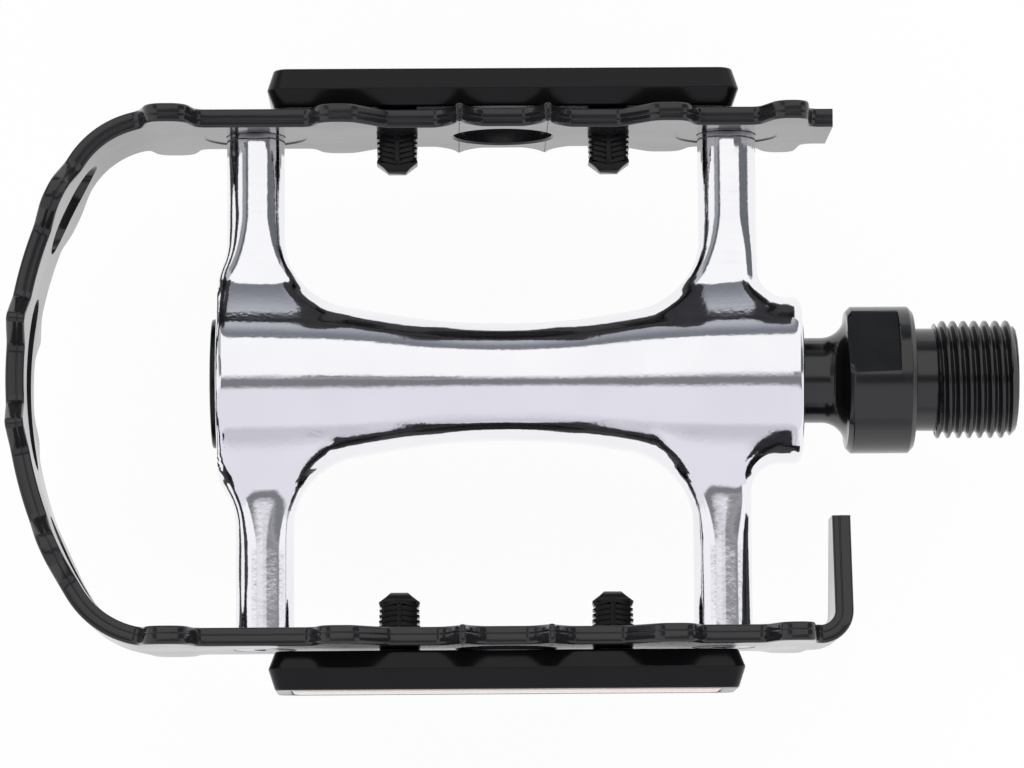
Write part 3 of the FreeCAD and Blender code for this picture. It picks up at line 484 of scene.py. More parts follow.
def smooth(share):
    """Share held between 0 and 1, with a soft start and end."""
    share = np.clip(share, 0, 1)
    return share**2 * (3 - 2 * share)


def unit(ways):
    """Directions made one long."""
    return ways / np.maximum(np.linalg.norm(ways, axis=1, keepdims=True), 1e-6)


def round_join(a, b, radius):
    """Union of two distances with a round web of that radius where they meet squarely."""
    inside_a, inside_b = np.maximum(radius - a, 0), np.maximum(radius - b, 0)
    near = np.minimum(a, b)
    return np.where(near > radius, near, np.maximum(near, radius) - np.hypot(inside_a, inside_b))


def round_cut(a, b, radius):
    """What is inside both distances, with a round edge of that radius."""
    return -round_join(-a, -b, radius)


def rolled_join(a, b, alike, radius):
    """Union with the web that a rolling ball leaves, for surfaces whose directions have that cosine."""
    alike = np.clip(alike, -0.999, 0.999)
    left_a, left_b = radius - a, radius - b
    touch = np.minimum(left_a - alike * left_b, left_b - alike * left_a)
    from_ball = np.maximum(left_a**2 + left_b**2 - 2 * alike * left_a * left_b, 0) / (1 - alike**2)
    return np.where(touch > 0, radius - np.sqrt(from_ball), np.minimum(a, b))


def plan_distance(x, y):
    """Distance from the outline seen from above: the barrel's sides, and an arm with its web at each corner."""
    slope = np.interp(x, LINE_X, LINE_SLOPE)
    shape = (np.abs(y) - np.interp(x, LINE_X, LINE_R)) / np.sqrt(1 + slope**2)
    for arm_x, side, outward in ARMS:
        arm = np.maximum(np.abs(x - arm_x) - ARM_R, -side * y)
        at_end = PLAN_OUT_END if outward < 0 else PLAN_IN_END
        shape = round_join(shape, arm, np.where(outward * (x - arm_x) > 0, at_end, PLAN_BETWEEN))
    return shape


def hub_distance(p):
    """Distance from the barrel with its hollow flanks, which end a little inside the outline of the webs.

    Those behind leave the waist bare, and those in front run further out at the barrel's inner end.
    """
    x, y, z = p.T
    behind = y > 0
    radius = np.interp(x, LINE_X, LINE_R)
    length = np.sqrt(1 + np.interp(x, LINE_X, LINE_SLOPE) ** 2)
    barrel = (np.hypot(y, z) - radius) / length
    out, up = (radius + FLANK_R) * math.sin(FLANK_LEAN), (radius + FLANK_R) * math.cos(FLANK_LEAN)
    flank = FLANK_R - np.hypot(np.abs(y) - out, np.abs(z) - up)
    flank = np.maximum(flank, radius * math.sin(FLANK_LEAN) - np.abs(y))
    edge = plan_distance(x, y)
    bare = np.where(behind, smooth(1 - (np.abs(y) - radius) / length + edge), 0)
    inset_front = INSET_FRONT + (INSET_END - INSET_FRONT) * smooth((x - INNER_END_X) / INNER_END_LONG)
    inset = np.where(behind, INSET_REAR, inset_front)
    soft = np.where(behind, SOFT_REAR, SOFT_FRONT)
    return np.minimum(barrel, round_cut(flank + WAIST_CLEAR * bare, edge + inset, soft))


def web_distance(p):
    """Distance from the flat web and its four arms: round at the arms, squarer edged towards the barrel."""
    x, y, z = p.T
    lip, up = np.maximum(plan_distance(x, y) + ARM_R, 0), np.abs(z)
    power = 2 + SQUARER * smooth((SQUARE_Y - np.abs(y)) / SQUARE_LONG)
    reach = np.maximum((lip**power + up**power) ** (1 / power), 1e-6)
    steep = np.hypot((lip / reach) ** (power - 1), (up / reach) ** (power - 1))
    return round_cut((reach - ARM_R) / np.maximum(steep, 0.5), np.abs(y) - ARM_END, ARM_ROUND)


def slope_of(distance, p, step=0.01):
    """Distance at the points and the way in which it grows."""
    here = distance(p)
    ahead = [distance(p + step * axis) for axis in np.eye(3)]
    return here, (np.stack(ahead, 1) - here[:, None]) / step


def body_distance(p):
    """Distance from the whole body: barrel and webs joined, cut to length, bored and drilled for screws."""
    x, y, z = p.T
    from_axis = np.hypot(y, z)
    hub, hub_way = slope_of(hub_distance, p)
    web, web_way = slope_of(web_distance, p)
    hub_way, web_way = unit(hub_way), unit(web_way)
    root = ROOT_EDGE + (np.where(y > 0, ROOT_REAR, ROOT_FRONT) - ROOT_EDGE) * web_way[:, 2] ** 2
    shape = rolled_join(hub, web, (hub_way * web_way).sum(1), root)
    middle, half = (BARREL_IN_X + BARREL_OUT_X) / 2, (BARREL_IN_X - BARREL_OUT_X) / 2
    shape = round_cut(shape, np.abs(x - middle) - half, RIM_ROUND)
    in_seat = np.maximum(from_axis - IN_SEAT_R, BARREL_IN_X - IN_SEAT_DEEP - x)
    out_seat = np.maximum(from_axis - OUT_SEAT_R, x - BARREL_OUT_X - OUT_SEAT_DEEP)
    bore = np.minimum(from_axis - BORE_R, np.minimum(in_seat, out_seat))
    shape = round_cut(shape, -bore, BORE_ROUND)
    for arm_x, side, _ in ARMS:
        tap = np.maximum(np.hypot(x - arm_x, z) - TAP_R, ARM_END - TAP_DEEP - side * y)
        shape = np.maximum(shape, -tap)
    return shape


def body_mesh():
    """Even mesh over the CAD body, with every point then evened out and brought onto the smooth skin."""
    voxel, longest_move, crease = 0.36, 0.3, 60
    turns, evened_at, facing_rounds = 15, (3, 5, 7, 9, 11), 5
    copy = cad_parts["pedal_body"].data.copy()
    work = bmesh_of(copy)
    bmesh.ops.remove_doubles(work, verts=work.verts, dist=1e-6)
    work.to_mesh(copy)
    work.free()
    mesh = baked(copy, "REMESH", mode="VOXEL", voxel_size=voxel * MM)
    count = len(mesh.vertices)
    points = np.empty(count * 3)
    mesh.vertices.foreach_get("co", points)
    points = points.reshape(-1, 3) / MM
    ends = np.empty(len(mesh.edges) * 2, int)
    mesh.edges.foreach_get("vertices", ends)
    ends = ends.reshape(-1, 2)
    near, far = np.concatenate([ends, ends[:, ::-1]]).T
    shared = np.bincount(near, minlength=count)[:, None]

    def around(values):
        """Sum over each point's neighbours."""
        return np.stack([np.bincount(near, values[far, axis], count) for axis in range(3)], 1)

    for turn in range(turns):
        off, grade = slope_of(body_distance, points)
        move = -(off / np.maximum((grade**2).sum(1), 0.2))[:, None] * grade
        length = np.linalg.norm(move, axis=1, keepdims=True)
        points += move * np.minimum(1, longest_move / np.maximum(length, 1e-9))
        if turn in evened_at:
            points += 0.5 * (around(points) / shared - points)
    mesh.vertices.foreach_set("co", (points * MM).ravel())
    mesh.update()
    smoothed(mesh, crease)
    # The mirror shows the field's own directions, a little evened out, apart from the points on sharp edges.
    _, facing = slope_of(body_distance, points)
    sharp = np.zeros(len(mesh.edges), bool)
    mesh.attributes["sharp_edge"].data.foreach_get("value", sharp)
    plain = np.ones((count, 1))
    plain[ends[sharp].ravel()] = 0
    for _ in range(facing_rounds):
        facing = plain * unit(facing)
        facing += around(facing)
    mesh.normals_split_custom_set_from_vertices((plain * unit(facing)).tolist())
    return mesh


add_piece("polished_body", body_mesh(), ALUMINIUM, "platform", "pedal_body")


# Cage: one strip swept round the platform, with its toothed edges and its holes

BOW_X, BOW_R, CORNER_R, TAB_X, TAB_R = -9.1, 50.0, 12.0, 41.0, 4.0
CORNER_Y = PLATE_OUT - CORNER_R
CORNER_X = BOW_X - math.sqrt((BOW_R - CORNER_R) ** 2 - CORNER_Y**2)
BOW_TURN = math.asin(CORNER_Y / (BOW_R - CORNER_R))
REAR_END, TAB_END = 39.3, -16.5
END_HIGH, TAB_HIGH = 6.6, 3.2
# The strip's outer face from its rear end round the bow to the tab: each line's length, start and heading, and
# each arc's length, centre, radius and first angle
RUNS = [
    ("line", REAR_END - CORNER_X, (REAR_END, PLATE_OUT), math.pi),
    ("arc", CORNER_R * (math.pi / 2 - BOW_TURN), (CORNER_X, CORNER_Y), CORNER_R, math.pi / 2),
    ("arc", BOW_R * 2 * BOW_TURN, (BOW_X, 0), BOW_R, math.pi - BOW_TURN),
    ("arc", CORNER_R * (math.pi / 2 - BOW_TURN), (CORNER_X, -CORNER_Y), CORNER_R, math.pi + BOW_TURN),
    ("line", TAB_X - TAB_R - CORNER_X, (CORNER_X, -PLATE_OUT), 0.0),
    ("arc", TAB_R * math.pi / 2, (TAB_X - TAB_R, TAB_R - PLATE_OUT), TAB_R, 1.5 * math.pi),
    ("line", TAB_END - TAB_R + PLATE_OUT, (TAB_X, TAB_R - PLATE_OUT), math.pi / 2),
]
STARTS = np.concatenate([[0], np.cumsum([run[1] for run in RUNS])])


def strip_point(along, deep, high):
    """Point of the strip from its place along the outer face, its depth inwards and its height."""
    index = int(np.clip(np.searchsorted(STARTS, along, side="right") - 1, 0, len(RUNS) - 1))
    kind, _, *rest = RUNS[index]
    gone = along - STARTS[index]
    if kind == "line":
        (x, y), heading = rest
        x += gone * math.cos(heading) - deep * math.sin(heading)
        y += gone * math.sin(heading) + deep * math.cos(heading)
    else:
        (x, y), radius, start = rest
        turn = start + gone / radius
        x += (radius - deep) * math.cos(turn)
        y += (radius - deep) * math.sin(turn)
    return PLATFORM_X + x, y, high


def scoop(start, end, radius=6.0, steps=7):
    """Hollow flank of a tooth: an arc from start to end that turns left."""
    start, end = np.asarray(start, float), np.asarray(end, float)
    chord = end - start
    half = np.linalg.norm(chord) / 2
    left = np.array([-chord[1], chord[0]]) / (2 * half)
    centre = (start + end) / 2 + left * math.sqrt(radius**2 - half**2)
    first = math.atan2(*(start - centre)[::-1])
    last = math.atan2(*(end - centre)[::-1])
    if last < first:
        last += 2 * math.pi
    turns = np.linspace(first, last, steps)
    return [tuple(centre + radius * np.array([math.cos(t), math.sin(t)])) for t in turns]


def plate_edge():
    """Upper edge of a plate from the bow to the crank side, as x from the platform's middle and height."""
    peg, arm, mid, tooth, big = 7.5, 8.4, 8.3, 12.0, 13.1
    edge = [(-43.5, arm), (-42.2, big), (-37.6, big), (-36.3, arm),
            (-23.1, arm), (-21.8, tooth), (-18.0, tooth), (-13.7, peg)]
    edge += scoop((-8.15, peg), (-5.65, tooth)) + scoop((-4.85, tooth), (-2.35, mid))
    edge += scoop((2.35, mid), (4.85, tooth)) + scoop((5.65, tooth), (8.15, peg))
    edge += [(13.7, peg), (18.0, tooth), (21.8, tooth), (23.1, arm),
             (30.25, arm), (32.25, big), (35.95, big), (36.65, END_HIGH)]
    return edge


def bow_edge():
    """Upper edge of the bow from rear to front, as y and height."""
    arm, mid, tooth, flank = 8.4, 7.5, 12.0, 2.5
    edge = []
    for y, top, before, after in ((21.4, 2.6, arm, arm), (6.7, 0.9, arm, mid), (-5.7, 0.9, mid, arm),
                                  (-20.4, 2.6, arm, arm)):
        edge += [(y + top / 2 + flank, before), (y + top / 2, tooth), (y - top / 2, tooth),
                 (y - top / 2 - flank, after)]
    return edge


def strip_outline():
    """Upper edge of the whole strip, as place along its outer face and height, with worn corners."""
    same_place, longest_step = 0.05, 0.7
    line = [(0.0, END_HIGH)]
    line += [(REAR_END - x, h) for x, h in reversed(plate_edge())]
    line += [(STARTS[2] + BOW_R * (BOW_TURN - math.asin(y / (BOW_R - STRIP / 2))), h) for y, h in bow_edge()]
    line += [(STARTS[4] + x - CORNER_X, h) for x, h in plate_edge()]
    line += [(STARTS[6] - 1.8, END_HIGH), (STARTS[7], TAB_HIGH)]
    worn = eased(line, 2.4, steps=6, hollow=1.2)
    fine = [worn[0]]
    for point in worn[1:]:
        gap = np.linalg.norm(point - fine[-1])
        if gap < same_place:
            continue
        start, pieces = fine[-1], max(1, math.ceil(gap / longest_step))
        fine += [start + (point - start) * (k + 1) / pieces for k in range(pieces)]
    return np.array(fine)


# Section of the strip's sheared edge: depth from the outer face and how far in from the tooth line.
# The punch rolls the first corner over, then leaves a bright band, a small step and a rougher torn band.
SHEARED = [(0.0, 0.46), (0.0, 0.38), (0.03, 0.22), (0.11, 0.09), (0.24, 0.02), (0.38, 0.0), (1.16, 0.0),
           (1.24, 0.03), (1.29, 0.12), (1.38, 0.12), (1.45, 0.07), (1.90, 0.09), (2.04, 0.13), (2.13, 0.20),
           (2.18, 0.28), (2.2, 0.38), (2.2, 0.46)]
STRIP_CREASE = 32


def strip_mesh():
    """The strip without its holes: the sheared section all along its outline, mirrored below."""
    line = strip_outline()
    heading = np.gradient(line, axis=0)
    heading /= np.linalg.norm(heading, axis=1, keepdims=True)
    inward = np.stack([heading[:, 1], -heading[:, 0]], 1)
    inward[0], inward[-1] = (0, -1), (0, -1)
    rings = []
    for (along, high), (aside, down) in zip(line, inward):
        upper = []
        for deep, inset in SHEARED:
            place = float(np.clip(along + inset * aside, 0, STARTS[-1]))
            upper.append(strip_point(place, deep, high + inset * down))
        rings.append(upper + [(x, y, -z) for x, y, z in reversed(upper)])
    return skin(rings, crease=STRIP_CREASE)


def hole_cutter(x, side, stations):
    """Round cutter through a plate: depth from the outer face and radius at each station."""
    return skin([
        round_ring(PLATFORM_X + x, side * (PLATE_OUT - deep), radius, 72) for deep, radius in stations])


def slot_cutter(y, length, high):
    """Round-ended cutter through the bow along X."""
    turn, outside, inside = full_turn(64), PLATFORM_X - 70, PLATFORM_X - 42
    straight = (length - high) / 2
    across = y + np.sign(np.cos(turn)) * straight + high / 2 * np.cos(turn)
    up = high / 2 * np.sin(turn)
    return skin([np.stack([np.full(len(turn), x), across, up], 1) for x in (outside, inside)])


def cage_mesh():
    """The strip with its holes. A hole's stations are depth from the outer face and radius."""
    cutters = [slot_cutter(0, 20.6, 6.4), slot_cutter(21.1, 10.6, 8.0), slot_cutter(-21.1, 10.6, 8.0)]
    window = ((-1, 6.9), (0.0, 6.15), (0.25, 5.9), (1.95, 5.9), (2.2, 6.15), (3, 6.9))
    peg_hole = ((-1, 3.2), (0.0, 2.35), (0.15, 2.2), (2.05, 2.2), (2.2, 2.35), (3, 3.2))
    # A screw hole: countersink, shank, the arm's own seat, and a shallow spot face round it
    arm_seat = ((-1, 4.8), (0.0, 3.8), (1.7, 2.1), (1.85, 2.1), (1.85, 3.56), (2.07, 3.58), (2.07, 6.05),
                (2.2, 6.2), (3, 6.6))
    for side in (1, -1):
        cutters.append(hole_cutter(0, side, window))
        cutters += [hole_cutter(x, side, peg_hole) for x in (PEG_X, -PEG_X)]
    cutters += [hole_cutter(arm_x - PLATFORM_X, side, arm_seat) for arm_x, side, _ in ARMS]
    tool = put("cutter", joined(cutters))
    mesh = baked(strip_mesh(), "BOOLEAN", operation="DIFFERENCE", solver="MANIFOLD", object=tool)
    bpy.data.objects.remove(tool)
    return smoothed(mesh, STRIP_CREASE)


add_piece("toothed_strip", cage_mesh(), PAINT, "platform", "cage")


# Spindle: turned steel with two spanner flats, and its crank thread

FLANGE_R, FLAT_HALF, FLAT_LEAN = 8.8, 7.5, math.radians(31.5)
FLAT_NORMAL = np.array([0, math.sin(FLAT_LEAN), math.cos(FLAT_LEAN)])
# Half the width across the flats along x from the shoulder: the milling cutter stops short of the rim.
FLAT_STOPS = ((-11.0, FLAT_HALF), (-2.1, FLAT_HALF), (-1.98, 7.53), (-1.92, 7.66), (-1.9, 8.62), (-1.82, 8.74),
              (-1.7, 8.9))


def spindle_profile():
    """Points of x from the shoulder and radius, from the bottom of the centre hole to the outer end."""
    line = [(9.3, 0.02), (12.3, 2.0), (12.3, 5.9), (12.05, 6.15), (0.0, 6.15), (0.0, 8.2), (-0.6, FLANGE_R)]
    line += [(x, FLANGE_R) for x, _ in reversed(FLAT_STOPS[1:])]
    line += [(-7.4, FLANGE_R), (-8.0, 8.2)]
    neck_x, neck_r, hollow = -10.9, 8.0, 2.9
    for t in np.linspace(0, math.pi / 2, 12):
        line.append((neck_x + hollow * math.cos(t), neck_r - hollow * math.sin(t)))
    ball_x, track_r, pitch = -17.9, 1.6175, 5.6175
    for t in np.linspace(1.24, -0.62, 12):
        line.append((ball_x + track_r * math.sin(t), pitch - track_r * math.cos(t)))
    line += [(-19.5, 4.3), (-69.95, 3.8), (-69.95, 3.0), (-79.85, 3.0), (-80.35, 2.5), (-80.35, 0.02)]
    return eased(line, 0.22)


def spindle_mesh():
    """The turned profile, with points along the flats' edges, pressed in where the flats are."""
    edge = math.acos(FLAT_HALF / FLANGE_R)
    across = math.atan2(FLAT_NORMAL[2], FLAT_NORMAL[1])
    stops = [across - edge, across + edge, across + math.pi - edge, across + math.pi + edge]
    stops.append(stops[0] + 2 * math.pi)
    turn = np.concatenate([
        np.linspace(low, high, count, endpoint=False)
        for low, high, count in zip(stops, stops[1:], (36, 60, 36, 60))])
    limit_x, limit = zip(*FLAT_STOPS)
    rings = []
    for x, r in spindle_profile():
        ring = np.stack([np.full(len(turn), x), r * np.cos(turn), r * np.sin(turn)], 1)
        if x > limit_x[0]:
            reach = ring @ FLAT_NORMAL
            most = np.interp(x, limit_x, limit)
            ring -= (np.sign(reach) * np.maximum(np.abs(reach) - most, 0))[:, None] * FLAT_NORMAL
        rings.append(ring + (SHOULDER_X, 0, 0))
    return skin(rings, crease=32)


def thread_tree():
    """Screw thread: a sheet wrapped round X whose rows follow the helix, closed at both ends."""
    tree, sizes, out = new_tree("crank_thread", {
        "Pitch": "Float", "Start": "Float", "End": "Float", "Turns": "Int", "Rows": "Int", "Columns": "Int",
        "Crest": "Float", "Depth": "Float", "Core": "Float", "Lead in": "Float", "Run out": "Float",
        "Material": "Material"})
    size = sizes.outputs
    grid = add(tree, "GeometryNodeMeshGrid", {
        "Size X": 1.0, "Size Y": 1.0, "Vertices X": size["Rows"], "Vertices Y": size["Columns"]})
    here = add(tree, "ShaderNodeSeparateXYZ", {0: add(tree, "GeometryNodeInputPosition").outputs[0]})
    values = dict(size.items()) | {"here x": here.outputs[0], "here y": here.outputs[1]}
    for name, operation, *inputs in (
            # Place along the helix, held between the thread's two ends
            ("row", "ADD", "here x", 0.5),
            ("turn", "ADD", "here y", 0.5),
            ("wound", "MULTIPLY_ADD", "row", "Turns", "turn"),
            ("turns on", "SUBTRACT", "wound", 1.0),
            ("raw", "MULTIPLY_ADD", "turns on", "Pitch", "Start"),
            ("past start", "MAXIMUM", "raw", "Start"),
            ("along", "MINIMUM", "past start", "End"),
            # Height of the flank there, rounded at crest and root
            ("pitches", "DIVIDE", "along", "Pitch"),
            ("shifted", "SUBTRACT", "pitches", "turn"),
            ("phase", "FRACT", "shifted"),
            ("swing", "MULTIPLY_ADD", "phase", 2.0, -1.0),
            ("flank", "ABSOLUTE", "swing"),
            ("lifted", "MULTIPLY_ADD", "flank", 1 / 0.78, -0.08 / 0.78),
            ("above root", "MAXIMUM", "lifted", 0.0),
            ("share", "MINIMUM", "above root", 1.0),
            ("squared", "MULTIPLY", "share", "share"),
            ("eased", "MULTIPLY_ADD", "share", -2.0, 3.0),
            ("rise", "MULTIPLY", "squared", "eased"),
            ("root", "SUBTRACT", "Crest", "Depth"),
            ("cut", "MULTIPLY_ADD", "rise", "Depth", "root"),
            # Lead-in cone at one end, run-out at the other
            ("to end", "SUBTRACT", "End", "along"),
            ("from end", "SUBTRACT", "Lead in", "to end"),
            ("to start", "SUBTRACT", "along", "Start"),
            ("from start", "SUBTRACT", "Run out", "to start"),
            ("nearer end", "MAXIMUM", "from end", "from start"),
            ("bevel", "MAXIMUM", "nearer end", 0.0),
            ("cone", "SUBTRACT", "Crest", "bevel"),
            ("radius", "MINIMUM", "cut", "cone"),
            # Rows past an end drop to the core, which closes it
            ("over", "SUBTRACT", "raw", "along"),
            ("over by", "ABSOLUTE", "over"),
            ("beyond", "GREATER_THAN", "over by", 1e-7),
            ("drop", "SUBTRACT", "Core", "radius"),
            ("closed", "MULTIPLY_ADD", "beyond", "drop", "radius"),
            ("angle", "MULTIPLY", "turn", 2 * math.pi),
            ("cosine", "COSINE", "angle"),
            ("sine", "SINE", "angle"),
            ("y", "MULTIPLY", "closed", "cosine"),
            ("z", "MULTIPLY", "closed", "sine")):
        given = {i: values.get(value, value) for i, value in enumerate(inputs)}
        values[name] = add(tree, "ShaderNodeMath", given, operation=operation).outputs[0]
    wrapped = add(tree, "ShaderNodeCombineXYZ", {0: values["along"], 1: values["y"], 2: values["z"]})
    placed = add(tree, "GeometryNodeSetPosition", {0: grid.outputs[0], "Position": wrapped.outputs[0]})
    merged = add(tree, "GeometryNodeMergeByDistance", {0: placed.outputs[0], "Distance": 2e-6})
    return end_tree(tree, merged.outputs[0], size["Material"], out)


PITCH = 25.4 / 20
thread = grown(thread_tree(), {
    "Pitch": PITCH * MM, "Start": -4.85 * MM, "End": 4.85 * MM, "Turns": 10, "Rows": 161, "Columns": 121,
    "Crest": 7.05 * MM, "Depth": 0.74 * MM, "Core": 6.05 * MM, "Lead in": 0.9 * MM, "Run out": 0.35 * MM,
    "Material": COATED_STEEL})
add_piece("turned_spindle", spindle_mesh(), COATED_STEEL, "spindle", "spindle")
add_piece("crank_thread", tidied(thread, 60), None, "spindle")


# Dust cap and seal

def cap_mesh():
    """Domed cap with a fine step round its face, pressed into the barrel's outer end."""
    radius, stand, rise = 7.73, 0.65, 0.35
    dome = [(BARREL_OUT_X - stand - rise * (1 - (r / radius) ** 2), r) for r in np.linspace(0.02, 7.2, 10)]
    wall = [(-91.15, radius), (-86.5, radius), (-86.5, 6.43), (-89.3, 6.43), (-89.3, 0.02)]
    return skin(turned(np.concatenate([dome, eased([dome[-1], *wall], 0.3)])))


def seal_mesh():
    """Rubber ring with a thin lip towards the spindle's neck."""
    section = [(-21.25, 8.48), (-22.85, 8.48), (-22.85, 6.1), (-22.3, 5.25), (-21.9, 5.25), (-21.6, 6.3),
               (-21.25, 6.6)]
    return skin(turned(eased(section, 0.2, closed=True)), loop=True)


add_piece("domed_cap", cap_mesh(), ABS, "platform", "dust_cap")
add_piece("lip_seal", seal_mesh(), RUBBER, "platform", "inboard_seal")


# Cage screws: one countersunk socket screw, set into each arm

def screw_form():
    """Screw along Z with its head's face at the origin, as shape, radius and height of each ring."""
    turn = full_turn(48)
    circle = np.stack([np.cos(turn), np.sin(turn)], 1)
    sixth = (turn + math.pi / 6) % (math.pi / 3) - math.pi / 6
    hexagon = circle / np.cos(sixth)[:, None]
    line = [(hexagon, 0.02, -1.7), (hexagon, 0.9, -1.45), (hexagon, 1.25, -1.4), (hexagon, 1.25, -1.3),
            (hexagon, 1.25, -0.14), (hexagon, 1.27, -0.08), (hexagon, 1.36, 0.0), (circle, 1.75, 0.0),
            (circle, 3.3, 0.0), (circle, 3.5, -0.02), (circle, 3.62, -0.1), (circle, 3.58, -0.2),
            (circle, 2.05, -1.7), (circle, 1.98, -1.8), (circle, 1.98, -11.5), (circle, 1.6, -12.0),
            (circle, 0.02, -12.0)]
    return skin([np.column_stack([shape * r, np.full(len(turn), z)]) for shape, r, z in line], crease=30)


def screws_mesh():
    """One screw on each arm's seat, its face turned outwards."""
    tree, sizes, out = new_tree("cage_screws", {"Screw": "Object", "Material": "Material"})
    form = add(tree, "GeometryNodeObjectInfo", {"Object": sizes.outputs["Screw"]})
    facing = add(tree, "GeometryNodeInputNamedAttribute", {"Name": "facing"}, data_type="FLOAT_VECTOR")
    aim = add(tree, "FunctionNodeAlignRotationToVector", {"Vector": facing.outputs[0]}, axis="Z")
    placed = add(tree, "GeometryNodeInstanceOnPoints", {
        "Points": sizes.outputs["Geometry"], "Instance": form.outputs["Geometry"], "Rotation": aim.outputs[0]})
    end_tree(tree, placed.outputs[0], sizes.outputs["Material"], out)
    seats = bpy.data.meshes.new("screw_seats")
    seats.from_pydata([(x * MM, side * PLATE_OUT * MM, 0) for x, side, _ in ARMS], [], [])
    seats.attributes.new("facing", "FLOAT_VECTOR", "POINT").data.foreach_set(
        "vector", [value for _, side, _ in ARMS for value in (0, side, 0)])
    screw = put("screw_form", screw_form())
    mesh = grown(tree, {"Screw": screw, "Material": ZINC}, seats)
    bpy.data.objects.remove(screw)
    return mesh


add_piece("socket_screws", screws_mesh(), None, "platform", "cage_screws")


# Reflectors: drafted housings on ribbed pegs, with a prismatic amber lens

REFLECTOR_X, REFLECTOR_Z, FACE = 28.15, 7.3, 5.12
PEG_BACK, PEG_ROOT, PEG_END = 2.3, 5.5, 6.7
LENS_X, LENS_Z, LENS_CORNER = 25.45, 4.6, 1.0
MOULDED_CREASE = 35


def housing_mesh(side):
    """Housing from its back to the floor of the lens well, by inset from its widest line and way outwards."""
    section = eased(
        [(3.0, 0.5), (0.81, 0.5), (0.0, 2.62), (0.8, FACE), (2.6, FACE), (2.6, 4.12), (3.6, 4.12)], 0.35)
    rings = []
    for inset, out in section:
        corner = max(2.0 - 0.45 * inset, 0.9)
        ring = rounded_ring(REFLECTOR_X - inset, REFLECTOR_Z - inset, corner, side * (PLATE_OUT + out))
        rings.append(ring + (PLATFORM_X, 0, 0))
    return skin(rings, crease=MOULDED_CREASE)


def peg_meshes(x, side):
    """Plain parts of a peg: collar, neck, core, spine and wedge tip, along Y from the strip's outer face."""
    stem = eased([(0.8, 0.05), (0.8, 2.45), (0.02, 2.45), (0.02, 2.1), (-2.3, 2.1), (-2.3, 0.05)], 0.12)
    meshes = [skin([round_ring(x, side * (PLATE_OUT + out), r, 48) for out, r in stem])]
    # Each block's stations are depth from the outer face and half its width along X and Z.
    blocks = (
        ((PEG_BACK - 0.2, 2.1, 1.6), (PEG_ROOT + 0.2, 2.1, 1.6)),
        ((PEG_BACK - 0.2, 0.35, 2.2), (PEG_ROOT - 0.25, 0.35, 2.2), (PEG_ROOT + 0.3, 0.35, 1.65)),
        ((PEG_ROOT - 0.35, 2.38, 1.6), (PEG_ROOT, 2.45, 1.6), (PEG_END - 0.55, 1.6, 1.5), (PEG_END, 1.05, 0.7)),
    )
    for block in blocks:
        meshes.append(skin([
            rounded_ring(half_x, half_z, 0.12, side * (PLATE_OUT - deep), 3) + (x, 0, 0)
            for deep, half_x, half_z in block]))
    return meshes


def rib_tree():
    """Row of thin chevrons with round corners on each of two pegs, a little smaller towards the tip."""
    tree, sizes, out = new_tree("peg_ribs", {
        "Ribs": "Int", "First": "Vector", "Step": "Vector", "Leg": "Float", "High": "Float", "Thick": "Float",
        "Corner": "Float", "Taper": "Float", "Left place": "Vector", "Left lean": "Vector",
        "Right place": "Vector", "Right lean": "Vector", "Apart": "Vector", "Material": "Material"})
    size = sizes.outputs
    leg_line = add(tree, "GeometryNodeCurvePrimitiveQuadrilateral", {
        "Width": size["Leg"], "Height": size["High"]})
    rounded = add(tree, "GeometryNodeFilletCurve", {
        0: leg_line.outputs[0], "Count": 3, "Radius": size["Corner"], "Limit Radius": True}, mode="POLY")
    plate = add(tree, "GeometryNodeFillCurve", {0: rounded.outputs[0]}, mode="NGONS")
    thick = add(tree, "GeometryNodeExtrudeMesh", {
        0: plate.outputs[0], "Offset Scale": size["Thick"], "Individual": False}, mode="FACES")
    back = add(tree, "GeometryNodeFlipFaces", {0: plate.outputs[0]})
    both = add(tree, "GeometryNodeJoinGeometry", {0: thick.outputs[0]})
    tree.links.new(back.outputs[0], both.inputs[0])
    shut = add(tree, "GeometryNodeMergeByDistance", {0: both.outputs[0], "Distance": 1e-6})
    upright = add(tree, "GeometryNodeTransform", {0: shut.outputs[0], "Rotation": (math.pi / 2, 0, 0)})
    chevron = add(tree, "GeometryNodeJoinGeometry")
    for hand in ("Left", "Right"):
        leg = add(tree, "GeometryNodeTransform", {
            0: upright.outputs[0], "Translation": size[f"{hand} place"], "Rotation": size[f"{hand} lean"]})
        tree.links.new(leg.outputs[0], chevron.inputs[0])
    row = add(tree, "GeometryNodeMeshLine", {
        "Count": size["Ribs"], "Start Location": size["First"], "Offset": size["Step"]}, mode="OFFSET")
    lost = add(tree, "ShaderNodeMath", {
        0: add(tree, "GeometryNodeInputIndex").outputs[0], 1: size["Taper"]}, operation="MULTIPLY")
    share = add(tree, "ShaderNodeMath", {0: 1.0, 1: lost.outputs[0]}, operation="SUBTRACT")
    scale = add(tree, "ShaderNodeCombineXYZ", {0: share.outputs[0], 1: 1.0, 2: share.outputs[0]})
    ribs = add(tree, "GeometryNodeInstanceOnPoints", {
        "Points": row.outputs[0], "Instance": chevron.outputs[0], "Scale": scale.outputs[0]})
    pegs = add(tree, "GeometryNodeMeshLine", {"Count": 2, "Offset": size["Apart"]}, mode="OFFSET")
    pair = add(tree, "GeometryNodeInstanceOnPoints", {"Points": pegs.outputs[0], "Instance": ribs.outputs[0]})
    return end_tree(tree, pair.outputs[0], size["Material"], out)


def lens_mesh(side):
    """Clear front of the lens, slightly crowned at its edges."""
    section = ((0.0, 4.66), (0.0, 4.95), (0.04, 5.04), (0.14, 5.1), (0.3, FACE), (2.0, FACE))
    rings = [
        rounded_ring(LENS_X - inset, LENS_Z - inset, LENS_CORNER, side * (PLATE_OUT + out)) + (PLATFORM_X, 0, 0)
        for inset, out in section]
    return skin(rings, crease=MOULDED_CREASE)


